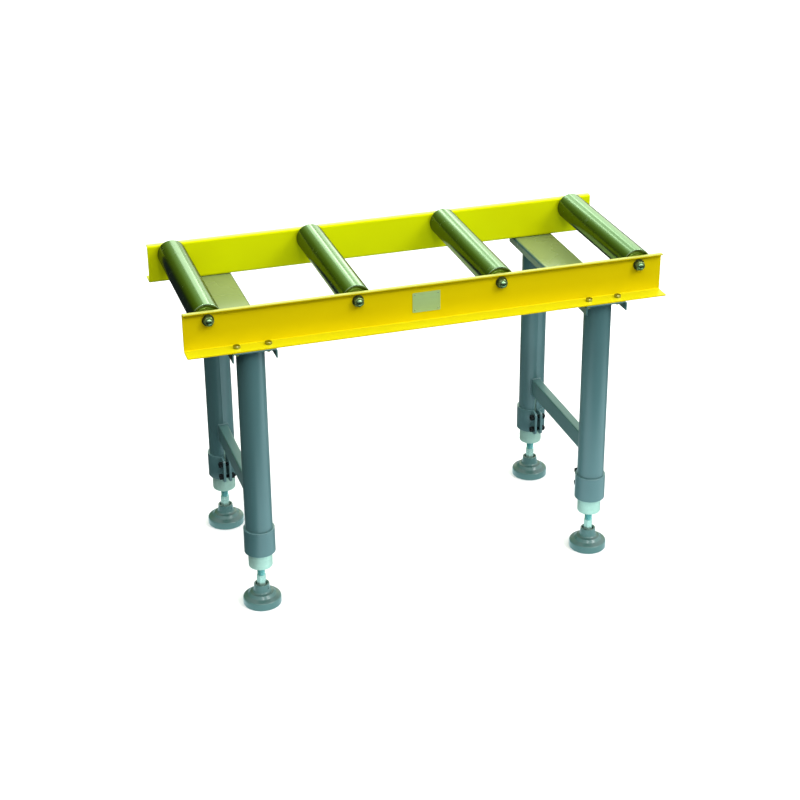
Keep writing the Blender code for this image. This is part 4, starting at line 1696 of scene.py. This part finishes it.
    def build_collar(self) -> None:
        """Raise the collar's plan, with the ears' corners rounded in side view.

        At distance b along an ear past the corner's centre c the height loses r - sqrt(r r - (b - c) squared)
        at the top and at the bottom. The top and bottom rows are drawn in to chamfer the edges.
        """
        node = f"{self.name}_clamp_collar"
        low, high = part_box(node)
        outer = (high.x - low.x) / 2
        tip = (high.y - low.y) - outer
        outside, inside = self.collar_sides(tip, outer, outer - self.collar_wall)
        height = high.z - low.z
        shares = np.array([0, 0, 0.5, 1, 1])[:, None]
        lift = np.array([0, TUBE_EDGE, 0, -TUBE_EDGE, 0])[:, None]
        drawn = np.array([TUBE_EDGE, 0, 0, 0, TUBE_EDGE])[:, None, None]
        towards = unit(inside - outside) * drawn
        sides = []
        for plan, sign in ((outside, 1), (inside, -1)):
            past = np.clip(plan[:, 1] - (tip - self.ear_corner), 0, self.ear_corner)
            lost = self.ear_corner - np.sqrt(self.ear_corner**2 - past**2)
            z = lost + shares * (height - 2 * lost) + lift
            flat = plan + sign * towards
            sides.append(np.stack([flat[..., 0], self.inward * flat[..., 1], z], axis=-1))
        draft = Draft().sheet(sides[0], sides[1], (self.x, self.y, low.z))
        self.add(f"{self.name}_collar", draft, STAND_PAINT, stands_for=node)

    def build_screw(self, level: str) -> None:
        """Make a socket-head screw with a knurled head, pointing to the right, and its nut.

        Args:
            level: Word for the screw's height in the frame's names.
        """
        node = f"{self.name}_clamp_screw_{level}"
        low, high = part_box(node)
        y, z = (low.y + high.y) / 2, (low.z + high.z) / 2
        angle = around(self.screw_columns)
        socket = np.interp(angle, *hexagon(self.screw_socket), period=TAU)
        head, tall, deep = self.screw_head, self.screw_head_height, self.screw_socket_depth
        knurl = head - self.knurl_depth * (1 - np.cos(self.knurls * angle))
        radius, height = joined_rows(
            (0.3 * socket, deep + 0.0006),
            (socket, deep),
            (socket, FINE_EDGE),
            (socket + FINE_EDGE, 0.0),
            (head - 0.0007, 0.0),
            (head - 0.0002, 0.0004),
            (knurl, 0.0009),
            (knurl, tall - 0.0012),
            (head, tall - 0.0008),
            (head - 0.0003, tall),
            (self.screw.radius, tall),
            columns=self.screw_columns,
        )
        shank = self.screw.rod(self.screw.rows(tall + FINE_EDGE, high.x - low.x), self.screw_columns)
        rows = np.concatenate([polar(radius, height, angle), shank])
        draft = Draft().grid(rows, Turn.TO_RIGHT, (low.x, y, z), caps=True)
        self.add(f"{self.name}_socket_screw_{level}", draft, BLACK_SCREW, stands_for=node, sharp=28)
        seat = self.x + self.ear_gap / 2 + self.ear_thickness + SEAT_GAP
        nut = hex_nut(2 * head, self.screw_nut, self.screw.radius - self.screw_bite)
        draft = Draft().grid(nut, Turn.TO_RIGHT, (seat, y, z), loop=True)
        self.add(f"{self.name}_screw_nut_{level}", draft, BLACK_SCREW, sharp=24)

    def build_inner_tube(self) -> None:
        """Turn the inner tube with a rounded lower edge and a plug in its lower end."""
        node = f"{self.name}_inner_tube"
        low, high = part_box(node)
        outer = (high.x - low.x) / 2
        inner, height = outer - self.wall, high.z - low.z
        bore = self.spindle.radius + self.plug_room
        loop = filleted(
            [
                (bore, 0, 0.0005),
                (outer, 0, self.tube_round),
                (outer, height, 0.0006),
                (inner, height, 0.0006),
                (inner, self.plug, 0.0006),
                (bore, self.plug, 0.0005),
            ],
            6,
        )
        draft = Draft().grid(revolved(loop), at=(self.x, self.y, low.z), loop=True)
        self.add(f"{self.name}_sliding_tube", draft, TUBE_ZINC, f"{self.name}_leg", node)

    def build_spindle(self) -> None:
        """Turn the levelling screw: ball end, neck, chamfered hexagon and a real thread."""
        node = f"{self.name}_spindle"
        low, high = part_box(node)
        _, foot_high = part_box(f"{self.name}_foot_pad")
        angle, side = hexagon(self.spindle_flats)
        flat = self.spindle_flat * self.spindle_flats
        drop = cone_drop(side, flat)
        hex_low = foot_high.z - low.z - self.spindle_in_hub
        hex_high = hex_low + self.spindle_hex
        ball, neck = self.spindle_flats / 2, self.spindle_neck
        bend = math.acos(neck / ball)
        rise = ball * math.sin(bend)
        swings = np.linspace(-bend, bend, self.ball_rows)
        radius, height = joined_rows(
            (0.4 * neck, 0.0),
            *((ball * math.cos(swing), rise + ball * math.sin(swing)) for swing in swings),
            (neck, hex_low),
            (flat, hex_low),
            (side, hex_low + drop),
            (side, hex_high - drop),
            (flat, hex_high),
            (self.spindle.radius - self.spindle.depth, hex_high),
            columns=len(angle),
        )
        at, mover = (self.x, self.y, low.z), f"{self.name}_screw"
        draft = Draft().grid(polar(radius, height, angle), at=at, caps=True)
        self.add(f"{self.name}_levelling_screw", draft, SPINDLE_ZINC, mover, node, sharp=24)
        thread = self.spindle.rod(self.spindle.rows(hex_high, high.z - low.z), len(angle))
        draft = Draft().grid(thread, at=at, caps=True)
        self.add(f"{self.name}_levelling_thread", draft, THREAD_ZINC, mover, sharp=24)

    def build_foot(self) -> None:
        """Turn the foot pad with rounded rim, shoulder and hub, and drill the hub's pin hole.

        Each corner is a radius, a height and a fillet.
        """
        node = f"{self.name}_foot_pad"
        low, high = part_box(node)
        outer, height = (high.x - low.x) / 2, high.z - low.z
        socket = self.spindle_flats / math.sqrt(3) + self.foot_socket_room
        path = filleted_path(
            [
                (self.foot_core, 0, 0),
                (outer, 0, 0.0015),
                (outer, 0.0160, 0.0042),
                (0.0300, 0.0208, 0.006),
                (0.0248, 0.0266, 0.003),
                (self.foot_hub + 0.0012, 0.0285, 0.0055),
                (self.foot_hub - 0.0006, height, 0.0012),
                (socket, height, 0.0008),
                (socket, self.foot_floor, 0.001),
                (self.foot_core, self.foot_floor, 0),
            ],
            7,
        )
        draft = Draft().grid(revolved(path), at=(self.x, self.y, low.z), caps=True)
        foot = self.add(f"{self.name}_foot", draft, FOOT_PAINT, f"{self.name}_foot", node)
        self.drill_hub(foot, height - self.pin_below_top)

    def drill_hub(self, foot: bpy.types.Object, height: float) -> None:
        """Cut the pin's round hole into the hub, towards the front right.

        Args:
            foot: The foot pad's piece.
            height: Height of the hole above the floor.
        """
        rows = revolved(np.array([[self.pin_radius, reach] for reach in self.pin_reach]), SMALL_COLUMNS)
        turn = Matrix.Rotation(math.radians(self.pin_azimuth), 3, "Z") @ Matrix.Rotation(math.pi / 2, 3, "Y")
        rows = rows @ np.array(turn).T
        drill = Draft().grid(rows, at=(self.x, self.y, height), caps=True).object("drill", 34)
        bore = foot.modifiers.new("hub_hole", "BOOLEAN")
        bore.operation = "DIFFERENCE"
        bore.solver = "EXACT"
        bore.object = drill
        bpy.context.view_layer.update()
        drilled = bpy.data.meshes.new_from_object(foot.evaluated_get(bpy.context.evaluated_depsgraph_get()))
        foot.modifiers.clear()
        foot.data = drilled
        foot.data.materials.clear()
        foot.data.materials.append(FOOT_PAINT.material())
        bpy.data.objects.remove(drill)


@dataclass
class Studio:
    """Pale floor, soft lights and the camera at the photograph's angle."""

    azimuth: float = -17.202
    elevation: float = 26.135
    roll: float = -0.526
    distance: float = 3.818006
    target_x: float = -0.007162
    target_z: float = 0.332517
    lens: float = 79.619
    sensor: float = 36.0
    floor_reach: float = 30.0
    floor_drop: float = 0.0002
    floor_tones: Span = (0.89, 0.91)
    floor_clouds: float = 1.5
    lit_side: Point = (0.955, -0.296, 0.0)
    rear_edge: Span = (0.45, 0.80)
    rear_tint: Colour = (0.74, 1.0, 0.60)
    rear_shade: Colour = (0.72, 1.0, 0.02)
    rear_span: Span = (0.22, 1.0)
    sky_rise: float = 0.68
    sky_base: float = 0.30
    sky_across: float = 1.05
    sky_above: float = 1.60
    sky_dim: float = 0.03
    fall_base: float = 0.05
    fall_across: float = 0.65
    fall_above: float = 2.8
    # The floor's glow is painted bounce light: the value under the table is a painted shadow of the table,
    # the pools by the feet are painted pools of light, and the patch behind is a painted reflection.
    mat_centre: Point = (0.40, -0.03, 0.0)
    mat_half: Point = (0.90, 0.75, 1.0)
    mat_edge: Span = (1.06, 0.94)
    mat_shade: Span = (0.0, -0.30)
    mat_under: float = 0.30
    mat_front: float = 1.6
    mat_tint: Colour = (0.76, 1.0, 1.06)
    far_floor: float = 0.02
    feet: Point = (0.368, 0.1765, 0.0)
    pool: float = 1.3
    pool_reach: Span = (0.20, 0.06)
    patch_centre: Point = (-0.05, 1.33, 0.0)
    patch_reach: Span = (0.52, 0.22)
    patch: float = 0.55
    patch_tint: Colour = (0.85, 1.0, 0.45)

    def build(self) -> None:
        """Set up everything that isn't part of the table."""
        scene = bpy.context.scene
        scene.view_settings.view_transform = "Standard"
        self.build_world(scene)
        self.build_floor()
        self.build_lights()
        self.build_camera(scene)

    def build_world(self, scene: bpy.types.Scene) -> None:
        """A white backdrop to the camera, and to the rest light that grows to the right and up.

        Along a direction d a mirror sees base + across (d . right) + above d.z, never below a dim sky
        that rises with d.z, and greener behind the table. A matt surface is lit by base + across
        (d . right), never below dim, plus above d.z squared, which falls more steeply.

        Args:
            scene: The scene that it belongs to.
        """
        world = bpy.data.worlds.new("studio")
        scene.world = world
        world.use_nodes = True
        wire = Wiring(world.node_tree)
        wire.tree.nodes.clear()
        way = wire.node("ShaderNodeTexCoord").outputs["Generated"]
        rise = wire.axis(way, "Z")
        risen = wire.math("MAXIMUM", rise, 0.0)
        right = wire.vector("DOT_PRODUCT", way, self.lit_side)
        sky = wire.math("MULTIPLY_ADD", right, self.sky_across, self.sky_base)
        dim = wire.math("MULTIPLY_ADD", risen, self.sky_rise, self.sky_dim)
        sky = wire.math("MAXIMUM", wire.math("MULTIPLY_ADD", rise, self.sky_above, sky), dim)
        fall = wire.math("MULTIPLY_ADD", right, self.fall_across, self.fall_base)
        fall = wire.math("MAXIMUM", fall, self.sky_dim)
        steep = wire.math("MULTIPLY", rise, risen)
        fall = wire.math("MULTIPLY_ADD", steep, self.fall_above, fall)
        ray = wire.node("ShaderNodeLightPath").outputs
        seen = ray["Is Camera Ray"]
        strength = wire.math("MAXIMUM", wire.span(ray["Is Glossy Ray"], 0.0, 1.0, fall, sky), seen)
        behind = wire.span(wire.vector("DOT_PRODUCT", way, (0, 1, 0)), *self.rear_edge, smooth=True)
        behind = wire.math("MULTIPLY", behind, wire.math("SUBTRACT", 1.0, seen))
        rear = wire.mix(wire.span(strength, *self.rear_span), self.rear_shade, self.rear_tint)
        tint = wire.mix(behind, (1.0, 1.0, 1.0), rear)
        back = wire.node("ShaderNodeBackground", {"Color": tint, "Strength": strength})
        wire.node("ShaderNodeOutputWorld", {"Surface": back.outputs[0]})

    def floor_material(self) -> bpy.types.Material:
        """White, faintly uneven floor that is clear from below; to rays other than the camera's it glows with
        painted bounce light.

        Returns:
            The material.
        """
        made = bpy.data.materials.new("pale_floor")
        made.use_nodes = True
        wire = Wiring(made.node_tree)
        wire.tree.nodes.clear()
        place = wire.node("ShaderNodeTexCoord").outputs["Object"]
        ray = wire.node("ShaderNodeLightPath").outputs
        tone = wire.span(wire.noise(place, self.floor_clouds, 3.0), *Effects.TONES)
        low, high = self.floor_tones
        pale = wire.mix(tone, (low, low, low), (high, high, high))
        matt = wire.node("ShaderNodeBsdfDiffuse", {"Color": pale}).outputs[0]
        floor_glow = self.thrown_light(wire, place, ray["Is Glossy Ray"])
        clear = wire.node("ShaderNodeBsdfTransparent").outputs[0]
        below = wire.node("ShaderNodeNewGeometry").outputs["Backfacing"]
        above = wire.node("ShaderNodeMixShader", {0: ray["Is Camera Ray"], 1: floor_glow, 2: matt}).outputs[0]
        both = wire.node("ShaderNodeMixShader", {0: below, 1: above, 2: clear}).outputs[0]
        wire.node("ShaderNodeOutputMaterial", {"Surface": both})
        return made

    def thrown_light(self, wire: Wiring, place: Socket, mirrored: Socket) -> Socket:
        """Painted bounce light: the floor's glow, which lights the table in place of light thrown back.

        Only a mat around the table glows, more from in front and by the feet than from under the table: the
        dimmer glow under the table is a painted shadow of the table, and the brighter pools by the feet are
        painted pools of light. Its edge is where the larger of |x| and |y|, over its half size, is 1. A round
        patch behind the table shows in mirrors alone, a painted reflection.

        Args:
            wire: Wiring of the floor's tree.
            place: Object coordinates.
            mirrored: Whether the floor is seen in a mirror.

        Returns:
            The emission shader.
        """
        depth = wire.axis(place, "Y")
        # Painted shadow of the table: the glow drops under it.
        mat = wire.span(depth, *self.mat_shade, self.mat_under, self.mat_front, smooth=True)
        away = wire.vector("DIVIDE", wire.vector("SUBTRACT", place, self.mat_centre), self.mat_half)
        away = wire.node("ShaderNodeSeparateXYZ", {0: wire.vector("ABSOLUTE", away)}).outputs
        away = wire.math("MAXIMUM", away["X"], away["Y"])
        painted_bounce = wire.span(away, *self.mat_edge, self.far_floor, mat, smooth=True)
        near = wire.vector("DISTANCE", wire.vector("ABSOLUTE", place), self.feet)
        # Painted pools of light on the floor by each foot.
        pool = wire.span(near, *self.pool_reach, 0.0, self.pool, smooth=True)
        # Painted reflection: a bright patch that only mirrors see.
        gap = wire.vector("DISTANCE", place, self.patch_centre)
        patch = wire.math("MULTIPLY", wire.span(gap, *self.patch_reach, smooth=True), mirrored)
        painted_bounce = wire.math("MULTIPLY_ADD", patch, self.patch, wire.math("MAXIMUM", painted_bounce, pool))
        tint = wire.mix(patch, self.mat_tint, self.patch_tint)
        return wire.node("ShaderNodeEmission", {"Color": tint, "Strength": painted_bounce}).outputs[0]

    def build_floor(self) -> None:
        """A quarter of the floor under each foot, so that a levelled foot keeps its floor."""
        finish = self.floor_material()
        far, z = self.floor_reach, -self.floor_drop
        for end in End:
            for face in Face:
                x, y = end.value * far, face.value * far
                mesh = bpy.data.meshes.new("floor")
                loop = [(0, 0, z), (x, 0, z), (x, y, z), (0, y, z)]
                mesh.from_pydata(loop if x * y > 0 else loop[::-1], [], [(0, 1, 2, 3)])
                mesh.materials.append(finish)
                quarter = bpy.data.objects.new(f"floor_{face.word}_{end.word}", mesh)
                bpy.context.collection.objects.link(quarter)
                quarter.parent = bpy.data.objects[f"body:{face.word}_{end.word}_foot"]

    def build_lights(self) -> None:
        """A soft key from the front right, a small high lamp in front, and panels and strips behind.

        The two panels and two strips stand behind the table and show as the rollers' bright bands.
        """
        self.soft_box("key", (4.2, -4.6, 5.4), (1.5, 3.0), 190.0)
        self.soft_box("front_glint", (-0.6, -3.4, 3.9), (0.25, 0.25), 26.0)
        self.soft_box("rear_panel", (0.70, 5.5, 2.1), (1.5, 3.4), 20.0, (0.70, 0.0, 2.1))
        self.soft_box("near_strip", (0.33, 2.1, 1.9), (0.14, 1.4), 1.5, (0.33, 0.0, 1.9))
        self.soft_box("side_strip", (1.45, 3.2, 1.9), (0.20, 2.4), 2.7, (1.45, 0.0, 1.9))
        self.soft_box("rear_side", (3.10, 5.5, 2.1), (2.6, 3.4), 24.0, (3.10, 0.0, 2.1))

    @staticmethod
    def soft_box(name: str, place: Point, size: Span, power: float, aim: Point = (0, 0, 0.45)) -> None:
        """An area light, unseen by the camera.

        Args:
            name: Name of the light.
            place: Where it stands.
            size: Its width and height.
            power: Its power in watts.
            aim: Where it points.
        """
        light = bpy.data.lights.new(name, "AREA")
        light.shape = "RECTANGLE"
        light.size, light.size_y = size
        light.energy = power
        box = bpy.data.objects.new(name, light)
        box.location = place
        box.rotation_euler = (Vector(aim) - Vector(place)).to_track_quat("-Z", "Y").to_euler()
        box.visible_camera = False
        bpy.context.collection.objects.link(box)

    def build_camera(self, scene: bpy.types.Scene) -> None:
        """Place the camera on its sphere about the target and roll it a little.

        Args:
            scene: The scene that it belongs to.
        """
        a, e, r = (math.radians(v) for v in (self.azimuth, self.elevation, self.roll))
        back = Vector((math.sin(a) * math.cos(e), -math.cos(a) * math.cos(e), math.sin(e)))
        right = Vector((math.cos(a), math.sin(a), 0))
        up = back.cross(right)
        x_axis = right * math.cos(r) + up * math.sin(r)
        y_axis = -right * math.sin(r) + up * math.cos(r)
        place = Vector((self.target_x, 0, self.target_z)) + back * self.distance
        data = bpy.data.cameras.new("photo_camera")
        data.lens = self.lens
        data.sensor_width = self.sensor
        camera = bpy.data.objects.new("photo_camera", data)
        frame = Matrix((x_axis, y_axis, back)).transposed().to_4x4()
        camera.matrix_world = Matrix.Translation(place) @ frame
        bpy.context.collection.objects.link(camera)
        scene.camera = camera


def corners(box: tuple[Vector, Vector]) -> list[list[float]]:
    """A box's two corners as plain lists."""
    return [list(corner) for corner in box]


def main() -> None:
    """Build the table's pieces in order, then the studio around them."""
    logging.basicConfig(level=logging.INFO, format="%(message)s")
    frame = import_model()
    for face in Face:
        SideRail(face).build()
    NamePlate().build()
    for number in range(1, ROLLER_COUNT + 1):
        RollerUnit(number).build()
    for end in End:
        LegStand(end).build()
    Studio().build()


if __name__ == "__main__":
    main()
